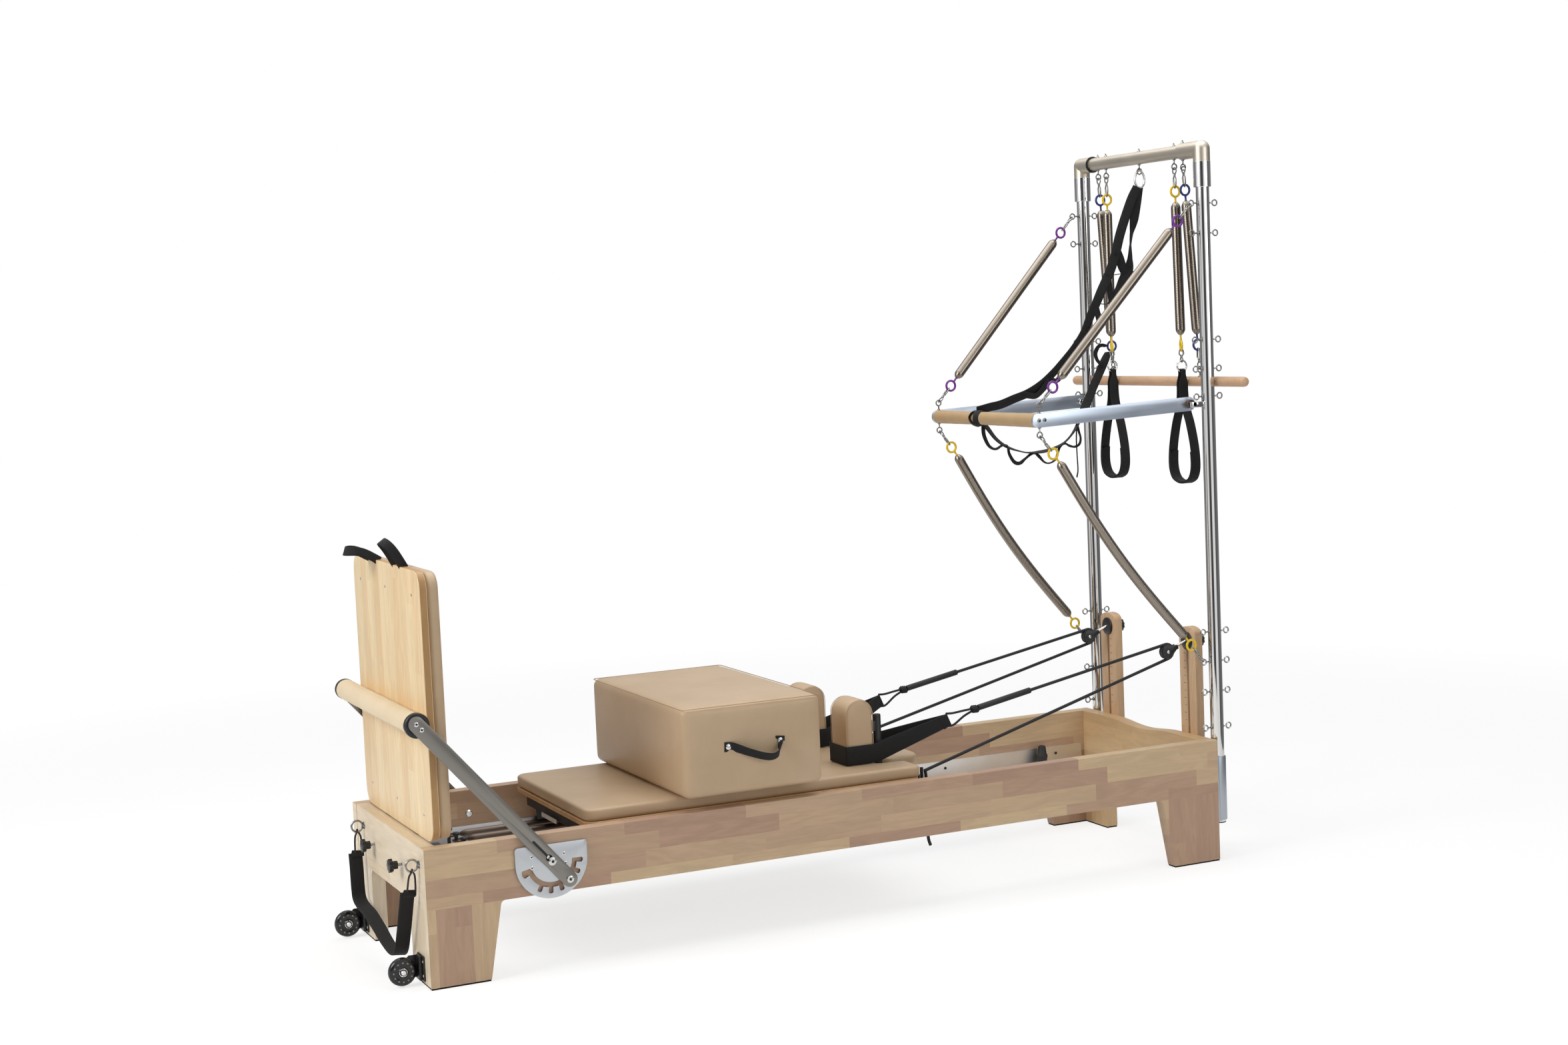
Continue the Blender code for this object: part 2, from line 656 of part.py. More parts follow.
def make_star_knobs():
    """Clamping knobs whose screws pass through the panel to the jump board's tongues."""
    back = -0.025
    flutes = 8
    outline = []
    for i in range(flutes * 4):
        angle = 360 * i / (flutes * 4)
        outline.append(polar(KNOB_RADIUS * (0.91 + 0.09 * cos(radians(flutes * angle))), angle, (-KNOB_Y, KNOB_Z)))
    star = plate("star", outline, "x", back - KNOB_LENGTH, back)
    centre = lambda x: (x, -KNOB_Y, KNOB_Z)
    hub = rod("hub", centre(back - 0.003), centre(-0.012), 0.0105, 12)
    screw = rod("screw", centre(-0.015), centre(BOARD - 0.001), 0.004, 8)
    side_pair(fuse(star, hub, screw), "star_knob", "black_plastic", centre(0))


STRAP_HOOKS = (-0.302, 0.238)       # the two eyebolts, near and far
STRAP_ENDS = (-0.286, 0.231)        # where the webbing starts under each link
STRAP_TOP = 0.240
STRAP_LINE = [(0.231, 0.244), (0.226, 0.200), (0.224, 0.146), (0.215, 0.118), (0.180, 0.107), (0.109, 0.101),
              (0.026, 0.083), (-0.050, 0.063), (-0.120, 0.051), (-0.165, 0.054), (-0.197, 0.074), (-0.224, 0.117),
              (-0.246, 0.159), (-0.266, 0.200), (-0.286, 0.244)]


def make_foot_strap():
    """The padded carrying strap: two eyebolts, two cord links and a hanging band of webbing."""
    ring_radius = 0.015
    ring_x = -0.0195
    parts = []
    for y, end in zip(STRAP_HOOKS, STRAP_ENDS):
        parts.append(rod("flange", (-GAP, y, EYE_Z), (-0.0065, y, EYE_Z), 0.010, 10))
        parts.append(torus("ring", (ring_x, y, EYE_Z), (0, 1, 0), ring_radius, 0.0028, 12, 4))
        top, bottom = EYE_Z - ring_radius + 0.003, STRAP_TOP - 0.004
        link_points = []
        for u, v in rounded_box_outline((-0.008, bottom), (0.008, top), 0.007, 1):
            lean = (end - y) * (top - v) / (top - bottom)
            link_points.append((ring_x, y + u + lean, v))
        parts.append(pipe("snap", link_points, 0.0026, 0, True))
    thickness = 0.007
    outline = []
    for sign in (1, -1):
        path = STRAP_LINE if sign > 0 else list(reversed(STRAP_LINE))
        for i, point in enumerate(path):
            before, after = path[max(i - 1, 0)], path[min(i + 1, len(path) - 1)]
            length = hypot(after[0] - before[0], after[1] - before[1])
            across = ((before[1] - after[1]) / length, (after[0] - before[0]) / length)
            outline.append((point[0] + across[0] * thickness / 2, point[1] + across[1] * thickness / 2))
    band = plate("band", outline, "x", -0.046, -0.0135)
    finish(fuse(band, *parts), "foot_strap", "webbing")


def make_jump_board(body):
    """A padded board whose steel tongues drop behind the foot end panel."""
    low, high = (-JUMP_HALF, JUMP_BOTTOM), (JUMP_HALF, JUMP_BOTTOM + JUMP_HEIGHT)
    board = rounded(plate("board", rounded_box_outline(low, high, JUMP_CORNER, 4), "x", JUMP_X, JUMP_X + JUMP_WOOD), 0.002)
    tongue_x = BOARD + GAP
    tongues = [block("tongue", (tongue_x, y - TONGUE_WIDTH / 2, TONGUE_BOTTOM),
                     (tongue_x + TONGUE_THICKNESS, y + TONGUE_WIDTH / 2, JUMP_BOTTOM + 0.08), 0.001, 1)
               for y in (-TONGUE_Y, TONGUE_Y)]
    back = JUMP_X + JUMP_WOOD
    loops = []
    for y in (-TOE_LOOP_Y, TOE_LOOP_Y):
        half, rise = TOE_LOOP_HALF, TOE_LOOP_RISE
        outer = [(half * cos(radians(a)), rise * sin(radians(a))) for a in range(0, 181, 30)]
        half, rise = half - TOE_LOOP_BAND, rise - TOE_LOOP_BAND
        inner = [(half * cos(radians(a)), rise * sin(radians(a))) for a in range(180, -1, -30)]
        foot = [(-TOE_LOOP_HALF, -TOE_LOOP_ROOT), (-half, -TOE_LOOP_ROOT)]
        other_foot = [(half, -TOE_LOOP_ROOT), (TOE_LOOP_HALF, -TOE_LOOP_ROOT)]
        loop = plate("loop", outer + foot + inner + other_foot, "x", -TOE_LOOP_WIDTH / 2, TOE_LOOP_WIDTH / 2)
        loop.data.transform(Matrix.Translation((back - 0.010, y, high[1] + 0.002)) @ Matrix.Rotation(-0.55, 4, "Y"))
        loops.append(loop)
    finish(fuse(board, *tongues, *loops), "jump_board_panel", "beech", (0, 0, JUMP_BOTTOM), body)
    inset = 0.004
    front = back + GAP
    outline = rounded_box_outline((low[0] + inset, low[1] + inset), (high[0] - inset, high[1] - inset - 0.004),
                                  JUMP_CORNER - inset, 4)
    pad = rounded(plate("pad", outline, "x", front, front + JUMP_PAD), 0.010, 3)
    finish(pad, "jump_board_pad", "leather", (0, 0, JUMP_BOTTOM), body)


# Carriage

def make_carriage_deck(body):
    low, high = (CARRIAGE_START, -CARRIAGE_HALF), (CARRIAGE_END, CARRIAGE_HALF)
    deck = plate("deck", rounded_box_outline(low, high, PAD_CORNER, 4), "z", DECK_BOTTOM, DECK_TOP)
    finish(rounded(deck, 0.0015, 1), "carriage_deck", "beech", (CARRIAGE_START, 0, DECK_BOTTOM), body)


def make_carriage_pad(body):
    """The long pad, with a notch at its head end for the headrest and the post plate."""
    inset = 0.0015
    x0, x1 = CARRIAGE_START + inset, CARRIAGE_END - inset
    y1 = CARRIAGE_HALF - inset
    corner = PAD_CORNER
    half = arc((x0 + corner, -y1 + corner), corner, 180, 270, 4)
    half += arc((x1 - 0.012, -y1 + 0.012), 0.012, 270, 360, 3)
    half += [(x1, -NOTCH_HALF)] + arc((NOTCH_START + 0.015, -NOTCH_HALF + 0.015), 0.015, 270, 180, 3)
    outline = half + [(x, -y) for x, y in reversed(half)]
    pad = plate("pad", outline, "z", DECK_TOP + GAP, PAD_TOP)
    top_edges = rounded(pad, 0.010, 3)
    finish(top_edges, "carriage_pad", "leather", (CARRIAGE_START, 0, DECK_BOTTOM), body)


def make_carriage_frame(body):
    """Steel under the deck: two long bars, cross bars, wheel hangers, hook bar and rope cleats."""
    top = DECK_BOTTOM - GAP
    x_front, x_back = CARRIAGE_START + 0.012, CARRIAGE_END + GAP + 0.004
    parts = []
    rail_y = CARRIAGE_HALF - 0.043
    for side in (-1, 1):
        low_y, high_y = sorted((side * (rail_y - 0.016), side * (rail_y + 0.012)))
        parts.append(block("runner", (x_front, low_y, top - 0.006), (x_back, high_y, top)))
        for axle_x in (FRONT_AXLE_X, REAR_AXLE_X):
            hanger = [(axle_x - 0.035, top - 0.002), (axle_x - 0.018, AXLE_Z - 0.012),
                      (axle_x + 0.018, AXLE_Z - 0.012), (axle_x + 0.035, top - 0.002)]
            hole = [polar(AXLE_RADIUS + 0.0008, -360 * i / 10, (axle_x, AXLE_Z)) for i in range(10)]
            face = side * (rail_y + 0.008)
            parts.append(plate("hanger", hanger, "y", face - 0.002, face + 0.002, [hole]))
        parts.append(rod("cleat", (CLEAT_X, side * CLEAT_Y, top - 0.010), (CLEAT_X, side * CLEAT_Y, CLEAT_TOP), CLEAT_RADIUS,
                         8))
        parts.append(block("cleat_foot", (x_back - 0.006, side * CLEAT_Y - 0.008, top - 0.010),
                           (CLEAT_X + 0.004, side * CLEAT_Y + 0.008, top - 0.003)))
    for x, half, low in ((x_front + 0.018, 0.012, top - 0.034), (HOOK_BAR_X, HOOK_BAR_HALF, SPRING_Z - 0.012),
                         (CARRIAGE_END - 0.060, 0.012, top - 0.034)):
        parts.append(block("cross", (x - half, -rail_y + 0.008, low), (x + half, rail_y - 0.008, top - 0.001)))
    end_half = CARRIAGE_HALF - 0.020
    end = block("end", (CARRIAGE_END + GAP, -end_half, top - 0.016), (x_back, end_half, DECK_TOP + GAP + 0.004))
    seat = block("seat", (NOTCH_START + 0.006, -NOTCH_HALF + 0.006, DECK_TOP + GAP),
                 (x_back - 0.001, NOTCH_HALF - 0.006, DECK_TOP + GAP + 0.0039))
    frame = fuse(end, seat, *parts)
    finish(frame, "carriage_frame", "black_steel", (CARRIAGE_START, 0, DECK_BOTTOM), body)


AXLE_Z = TRACK_TOP + GAP + WHEEL_RADIUS


def make_wheelsets():
    track_face = INNER - GAP - TRACK_WALL
    outer = track_face - 0.006
    w = WHEEL_WIDTH
    for name, x in (("wheelset_foot", FRONT_AXLE_X), ("wheelset_head", REAR_AXLE_X)):
        inner = outer - w
        profile = [(0, -outer), (WHEEL_RADIUS - 0.002, -outer), (WHEEL_RADIUS, -outer + 0.002),
                   (WHEEL_RADIUS, -inner - 0.002), (WHEEL_RADIUS - 0.002, -inner), (AXLE_RADIUS, -inner)]
        whole = profile + [(radius, -y) for radius, y in reversed(profile)]
        finish(turned("wheelset", whole, (x, 0, AXLE_Z), (0, 1, 0), 14), name, "black_plastic", (x, 0, AXLE_Z))


def make_carriage_springs():
    """Five long springs side by side, fused at the rod that hooks them to the carriage."""
    parts = []
    for y in PACK_Y:
        start = ANCHOR_X + 0.024
        length = PACK_END - start
        profile = [(0, 0), (0.004, 0), (0.011, 0.02), (0.011, length - 0.02), (0.004, length), (0, length)]
        parts.append(turned("spring", profile, (start, y, SPRING_Z), (1, 0, 0), 8))
        hook_x = ANCHOR_X + HOOK_RADIUS - PEG_RADIUS - HOOK_WIRE - GAP
        parts.append(torus("hook", (hook_x, y, SPRING_Z), (0, 0, 1), HOOK_RADIUS, HOOK_WIRE, 8, 4))
    cross = rod("cross", (PACK_END, PACK_Y[0] - 0.02, SPRING_Z), (PACK_END, PACK_Y[-1] + 0.02, SPRING_Z), PACK_ROD, 8)
    finish(fuse(cross, *parts), "carriage_springs", "spring_steel")


def make_headrest(body):
    start, end = HEADREST_START, HEADREST_START + HEADREST_LENGTH
    low_z = DECK_TOP + GAP + 0.004 + GAP
    outline = rounded_box_outline((start, -HEADREST_HALF), (end, HEADREST_HALF), 0.035, 4)
    pad = plate("pad", outline, "z", low_z, low_z + HEADREST_THICKNESS)
    finish(rounded(pad, 0.010, 2), "headrest", "leather", (start, 0, low_z), body)


def make_shoulder_rests(bodies):
    """A rounded block with a black post behind it; both lift out of the carriage together."""
    radius = REST_LENGTH / 2
    bottom = PAD_TOP + GAP
    top = bottom + REST_HEIGHT
    centre_x = REST_START + radius
    outline = [(REST_START, bottom), (REST_START + REST_LENGTH, bottom)]
    outline += arc((centre_x, top - radius), radius, 0, 180, 8)
    rest = rounded(plate("block", outline, "y", -REST_OUTER, -REST_INNER), 0.008, 2)
    plate_top = DECK_TOP + GAP + 0.004 + GAP
    post = rod("post", (POST_X, -POST_Y, plate_top), (POST_X, -POST_Y, plate_top + POST_HEIGHT), POST_RADIUS, 12)
    arm = block("arm", (REST_START + REST_LENGTH - 0.006, -POST_Y - 0.008, bottom + 0.085),
                (POST_X, -POST_Y + 0.008, bottom + 0.115))
    side_pair(fuse(rest, post, arm), "shoulder_rest", "leather", (POST_X, -POST_Y, plate_top), bodies)


def make_sitting_box(body):
    bottom = PAD_TOP + GAP
    low = (BOX_START, BOX_NEAR, bottom)
    high = (BOX_START + BOX_LENGTH, BOX_FAR, bottom + BOX_HEIGHT)
    box = block("box", low, high, 0.012, 3)
    middle = BOX_START + BOX_LENGTH / 2
    handles = []
    for face, side in ((BOX_NEAR, -1), (BOX_FAR, 1)):
        outer, half = [], 0.083
        for i in range(9):
            u = 2 * i / 8 - 1
            outer.append((middle + half * u, face + side * (0.024 * (1 - u ** 4) - 0.002)))
        inner = [(middle + (half - 0.004) * (x - middle) / half, y - side * 0.003) for x, y in outer]
        band = outer + list(reversed(inner))
        if side > 0:
            band = list(reversed(band))
        handles.append(plate("handle", band, "z", bottom + 0.100, bottom + 0.135))
    finish(fuse(box, *handles), "sitting_box", "leather", (BOX_START, 0, bottom), body)


# Tower

def make_uprights():
    """Chrome tubes with eyebolts on both faces, a pivot lug and a clamp bracket at the foot."""
    y = -TOWER_HALF
    tube = rod("tube", (TOWER_X, y, TUBE_BOTTOM), (TOWER_X, y, SLEEVE_BOTTOM + 0.035), TUBE_RADIUS, 16)
    bracket = block("bracket", (FRAME_LENGTH + GAP, y - BRACKET_HALF, TUBE_BOTTOM + 0.002),
                    (TOWER_X + TUBE_RADIUS + 0.014, y + BRACKET_HALF, BRACKET_TOP), 0.003, 1)
    eyes = []
    for z in EYE_HEIGHTS:
        for side in (-1, 1):
            eyes += eyebolt((TOWER_X + side * TUBE_RADIUS, y, z), (side, 0, 0), (0, 1, 0))
    arm_outer = -PUSH_ARM_Y - PUSH_ARM_THICKNESS
    lug = block("lug", (PUSH_PIVOT_X - 0.010, y - 0.006, PUSH_PIVOT_Z - 0.010),
                (TOWER_X - TUBE_RADIUS + 0.006, arm_outer - 0.0015, PUSH_PIVOT_Z + 0.006), 0.002, 1)
    at_pivot = lambda depth: (PUSH_PIVOT_X, depth, PUSH_PIVOT_Z)
    pin = rod("pin", at_pivot(arm_outer - 0.004), at_pivot(-PUSH_ARM_Y + 0.002), BOLT_RADIUS, 12)
    head = rod("head", at_pivot(-PUSH_ARM_Y + 0.0015), at_pivot(-PUSH_ARM_Y + 0.006), 0.011, 12)
    rings = [piece for piece in eyes if piece.name.startswith("ring")]
    shanks = [piece for piece in eyes if piece.name.startswith("shank")]
    upright = fuse(tube, gather("shanks", shanks), gather("rings", rings), bracket, lug, pin, head)
    side_pair(upright, "upright", "chrome")


def make_tower_top_bar():
    """The top bar with its two elbows, whose sleeves slip over the uprights, and its eye hooks."""
    corner_y, corner_z = TOWER_HALF - ELBOW_RADIUS, TOWER_TOP - ELBOW_RADIUS
    bar = rod("bar", (TOWER_X, -corner_y, TOWER_TOP), (TOWER_X, corner_y, TOWER_TOP), TUBE_RADIUS, 16)
    pieces = []
    for side in (-1, 1):
        bend = arc((corner_y, corner_z), ELBOW_RADIUS, 0, 90, 6)
        path = [(TOWER_HALF, SLEEVE_BOTTOM)] + bend + [(TOWER_HALF - SLEEVE_REACH, TOWER_TOP)]
        elbow = pipe("elbow", [(TOWER_X, side * u, v) for u, v in path], SLEEVE_RADIUS, 6)
        socket = rod("socket", (TOWER_X, side * TOWER_HALF, SLEEVE_BOTTOM - 0.01),
                     (TOWER_X, side * TOWER_HALF, SLEEVE_BOTTOM + 0.035 + GAP), TUBE_RADIUS + 0.0008, 16)
        pieces.append(carve(elbow, socket))
    eyes = []
    for y in TOP_EYES:
        eyes += eyebolt((TOWER_X, y, TOWER_TOP - TUBE_RADIUS), (0, 0, -1), (0, 1, 0))
    rings = [piece for piece in eyes if piece.name.startswith("ring")]
    shanks = [piece for piece in eyes if piece.name.startswith("shank")]
    top = fuse(bar, *pieces, gather("shanks", shanks), gather("rings", rings))
    finish(top, "tower_top_bar", "chrome")


def make_risers():
    """Wooden boards behind the head panel, slotted for the pulley height."""
    x0 = FRAME_LENGTH + GAP
    half = RISER_WIDTH / 2
    radius = half * 0.9
    outline = [(-RISER_Y - half, RISER_BOTTOM), (-RISER_Y + half, RISER_BOTTOM)]
    crown = [(half * cos(radians(a)), RISER_TOP - 0.020 + 0.020 * sin(radians(a))) for a in range(0, 181, 20)]
    outline += [(-RISER_Y + u, v) for u, v in crown]
    slot_low, slot_high = 0.345, PULLEY_Z + 0.014
    slot = rounded_box_outline((-RISER_Y - RISER_SLOT / 2, slot_low), (-RISER_Y + RISER_SLOT / 2, slot_high),
                               RISER_SLOT / 2 - 0.0001, 3)
    riser = rounded(plate("riser", outline, "x", x0, x0 + RISER_THICKNESS, [slot]), 0.002, 1)
    side_pair(riser, "riser", "beech")


def make_pulleys():
    """Rope pulleys on clamp bolts through the riser slots, with a knob behind."""
    face = FRAME_LENGTH
    y = -RISER_Y
    sheave = Vector((face - PULLEY_REACH, y, PULLEY_Z - PULLEY_DROP))
    anchor = Vector((face - 0.004, y, PULLEY_Z))
    back = face + GAP + RISER_THICKNESS
    disc = rod("disc", (face - 0.005, y, PULLEY_Z), (face - GAP, y, PULLEY_Z), CLAMP_DISC_RADIUS, 16)
    bolt = rod("bolt", (face - 0.003, y, PULLEY_Z), (back + 0.006, y, PULLEY_Z), 0.004, 8)
    knob = rod("knob", (back + GAP, y, PULLEY_Z), (back + 0.0245, y, PULLEY_Z), CLAMP_KNOB_RADIUS, 14,
               CLAMP_KNOB_RADIUS * 0.85)
    along = (anchor - sheave).normalized()
    shank = rod("shank", sheave + along * 0.034, anchor, 0.0045, 8)
    gap = SHEAVE_WIDTH / 2 + 0.0012
    nose = SHEAVE_RADIUS - 0.002
    tilt = degrees(atan2(along.z, along.x))
    outline = arc((0, 0), nose, 70, 290, 8) + [(0.037, -0.006), (0.037, 0.006)]
    cheeks = []
    for low in (-gap - CHEEK_THICKNESS, gap):
        cheeks.append(plate("cheek", outline, "y", low, low + CHEEK_THICKNESS))
    web = block("web", (0.0285, -gap - 0.001, -0.0052), (0.036, gap + 0.001, 0.0052))
    turn = Matrix.Translation(sheave) @ Matrix.Rotation(-radians(tilt), 4, "Y")
    for piece in (*cheeks, web):
        piece.data.transform(turn)
    pin = rod("pin", sheave - Vector((0, gap + 0.001, 0)), sheave + Vector((0, gap + 0.001, 0)), 0.003, 8)
    block_piece = fuse(disc, bolt, knob, shank, *cheeks, web, pin)
    side_pair(block_piece, "pulley_block", "black_plastic")
    w = SHEAVE_WIDTH / 2
    groove = SHEAVE_RADIUS - ROPE_RADIUS
    profile = [(0.0036, -w), (SHEAVE_RADIUS, -w), (groove, -0.003), (groove, 0.003),
               (SHEAVE_RADIUS, w), (0.0036, w), (0.0036, -w)]
    side_pair(turned("sheave", profile, sheave, (0, 1, 0), 14), "pulley_sheave", "black_plastic", sheave)


SHEAVE = (FRAME_LENGTH - PULLEY_REACH, PULLEY_Z - PULLEY_DROP)
BAND_LOW = PAD_TOP + 0.002
BAND_END = (CARRIAGE_START + CARRIAGE_LENGTH + BAND_REACH, REST_OUTER + 0.006, 0.484)
KNOT = (BAND_END[0] + KNOT_REACH, BAND_END[1] + 0.008, 0.506)


def make_ropes():
    """A rope from the carriage cleat round its pulley to the webbing loop on the shoulder rest."""
    y = -RISER_Y
    wrap = SHEAVE_RADIUS - ROPE_RADIUS + ROPE_RADIUS + GAP
    top = Vector((SHEAVE[0] - wrap * sin(radians(10)), y, SHEAVE[1] + wrap * cos(radians(10))))
    knot = Vector((KNOT[0], -KNOT[1], KNOT[2]))
    cleat = Vector((CLEAT_X + CLEAT_RADIUS + ROPE_RADIUS + 0.0006, -CLEAT_Y, ROPE_HITCH_Z))
    around = [(SHEAVE[0] + wrap * cos(radians(a)), y, SHEAVE[1] + wrap * sin(radians(a)))
              for a in range(100, -71, -17)]
    sleeve_end = knot.lerp(top, 0.29)
    run = [knot, sleeve_end] + [Vector(p) for p in around] + [cleat, cleat + Vector((0.004, 0.002, -0.020)),
                                                              cleat + Vector((0.006, 0.004, -0.080)),
                                                              cleat + Vector((0.004, 0.006, -0.225))]
    rope = pipe("rope", run, ROPE_RADIUS, 1)
    sleeve = rod("sleeve", knot.lerp(top, 0.02), sleeve_end, SLEEVE_ROPE_RADIUS, 8)
    knot_ball = turned("knot", [(0, -0.014), (0.010, -0.010), (0.013, 0), (0.010, 0.010), (0, 0.014)], knot, (1, 0, 0), 8)
    width = 0.052
    mid_y = (REST_INNER + REST_OUTER) / 2
    half = (REST_OUTER - REST_INNER) / 2 + 0.0006
    end = (BAND_END[0], -BAND_END[1])
    slack = REST_START + REST_LENGTH + 0.006
    thickness = 0.004

    def band_edge(offset, tip):
        left, reach, corner = REST_START - 0.0006 - offset, half + offset, 0.003 + offset
        upper = arc((left + corner, -mid_y + reach - corner), corner, 90, 180, 2)
        lower = arc((left + corner, -mid_y - reach + corner), corner, 180, 270, 2)
        return upper + lower + tip + [(slack, -mid_y + reach)]

    outline = band_edge(thickness, [(end[0], end[1] - 0.003), (end[0], end[1] + 0.003)])
    hole = band_edge(0, [(end[0] - 0.030, end[1])])
    loop = plate("loop", outline, "z", 0, width, [hole])
    rise = BAND_END[2] - BAND_LOW - width / 2
    start_x = REST_START + REST_LENGTH
    for vertex in loop.data.vertices:
        s = max(0.0, (vertex.co.x - start_x) / (end[0] - start_x))
        vertex.co.z += BAND_LOW + rise * s
    tie = Vector((BAND_END[0], -BAND_END[1], BAND_END[2]))
    cords = [rod("cord", tie + Vector((-0.004, 0, dz)), knot, 0.0032, 6) for dz in (-0.018, 0.018)]
    rope_whole = fuse(loop, *cords, knot_ball, sleeve, rope)
    side_pair(rope_whole, "rope", "webbing")


def make_push_through_bar(body):
    """Two flat arms that swing on the tower's pivot pins, joined by the handle's core rod."""
    pivot = (PUSH_PIVOT_X, PUSH_PIVOT_Z)
    handle = (PUSH_HANDLE_X, PUSH_HANDLE_Z)
    reach = hypot(pivot[0] - handle[0], pivot[1] - handle[1])
    half = PUSH_ARM_HEIGHT / 2
    outline = arc((0, 0), half, 90, -90, 6) + arc((-reach, 0), half, 270, 90, 6)
    outline = list(reversed(outline))
    hole = [polar(BOLT_RADIUS + 0.0008, 360 * i / 12, (0, 0)) for i in range(12)]
    arm = plate("arm", outline, "y", -PUSH_ARM_Y - PUSH_ARM_THICKNESS, -PUSH_ARM_Y, [hole])
    tilt = atan2(pivot[1] - handle[1], pivot[0] - handle[0])
    arm.data.transform(Matrix.Translation((pivot[0], 0, pivot[1])) @ Matrix.Rotation(-tilt, 4, "Y"))
    mid_y = -PUSH_ARM_Y - PUSH_ARM_THICKNESS / 2
    eyes = []
    for side in (-1, 1):
        eyes += eyebolt((PUSH_HANDLE_X + 0.003, mid_y, PUSH_HANDLE_Z + side * (half - 0.0005)), (0, 0, side), (0, 1, 0))
    near = fuse(arm, *eyes)
    far = mirrored(near, "far_arm")
    rod_y = PUSH_ARM_Y + 0.002
    core = rod("core", (PUSH_HANDLE_X, -rod_y, PUSH_HANDLE_Z), (PUSH_HANDLE_X, rod_y, PUSH_HANDLE_Z), PUSH_ROD_RADIUS, 12)
    axis_point = (PUSH_PIVOT_X, 0, PUSH_PIVOT_Z)
    finish(fuse(near, core, far), "push_through_frame", "polished_aluminium", axis_point, body)
    end = PUSH_ARM_Y - GAP
    grip = rounded(rod("grip", (PUSH_HANDLE_X, -end, PUSH_HANDLE_Z), (PUSH_HANDLE_X, end, PUSH_HANDLE_Z),
                       PUSH_GRIP_RADIUS, 18), 0.003)
    bore = rod("bore", (PUSH_HANDLE_X, -end - 0.01, PUSH_HANDLE_Z), (PUSH_HANDLE_X, end + 0.01, PUSH_HANDLE_Z),
               PUSH_ROD_RADIUS + 0.0006, 12)
    finish(carve(grip, bore), "push_through_handle", "leather", axis_point, body)


def hung_spring(name, start, end, sag=0.0, hooks=(0.052, 0.052)):
    """A spring with tapered ends, a colour ring at each end and a snap hook to each eye.

    start and end are the centres of the eyes; the hooks' wires pass through them along y.
    """
    start, end = Vector(start), Vector(end)
    along = (end - start).normalized()
    ring_near = start + along * (hooks[0] + SPRING_END)
    ring_far = end - along * (hooks[1] + SPRING_END)
    down = Vector((-along.z, 0, along.x)) if along.x * along.z else Vector((0, 0, 0))
    if down.z > 0:
        down = -down
    steps = 6
    body_start = ring_near + along * (SPRING_END + SPRING_NECK)
    body_end = ring_far - along * (SPRING_END + SPRING_NECK)
    points = [body_start.lerp(body_end, i / steps) + down * sag * sin(pi * i / steps) for i in range(steps + 1)]
    taper = [0.35, 0.95] + [1.0] * (steps - 3) + [0.95, 0.35]
    curve = bpy.data.curves.new(name, "CURVE")
    curve.dimensions = "3D"
    curve.bevel_depth = SPRING_RADIUS
    curve.bevel_resolution = 2
    curve.use_fill_caps = True
    spline = curve.splines.new("POLY")
    spline.points.add(steps)
    for target, point, width in zip(spline.points, points, taper):
        target.co = (*point, 1)
        target.radius = width
    body = bake(link(name, curve))
    parts = [torus("ring", centre, (0, 1, 0), SPRING_END, 0.0033, 8, 3) for centre in (ring_near, ring_far)]
    parts.append(rod("neck", ring_near + along * SPRING_END, body_start + along * 0.004, 0.003, 6))
    parts.append(rod("neck", ring_far - along * SPRING_END, body_end - along * 0.004, 0.003, 6))
    for eye, ring, way in ((start, ring_near, along), (end, ring_far, -along)):
        length = (ring - eye).length - SPRING_END
        outline = rounded_box_outline((SEAT_IN_EYE, -0.0062), (length, 0.0062), 0.0055, 1)
        points = [eye + way * u + Vector((0, v, 0)) for u, v in outline]
        parts.append(pipe("snap", points, SNAP_WIRE, 0, True))
    return fuse(body, *parts)


def make_push_springs():
    top_eye = TOWER_X - EYE_REACH
    arm_y = PUSH_ARM_Y + PUSH_ARM_THICKNESS / 2
    eye_offset = PUSH_ARM_HEIGHT / 2 + SHANK + RING_RADIUS
    handle_x = PUSH_HANDLE_X + 0.003
    for name, side, height, sag in (("push_spring_upper", 1, EYE_HEIGHTS[0], 0.0), ("push_spring_lower", -1, EYE_HEIGHTS[6], 0.020)):
        start = (handle_x, -arm_y, PUSH_HANDLE_Z + side * eye_offset)
        end = (top_eye, -TOWER_HALF, height)
        side_pair(hung_spring(name, start, end, sag), name, "spring_steel")


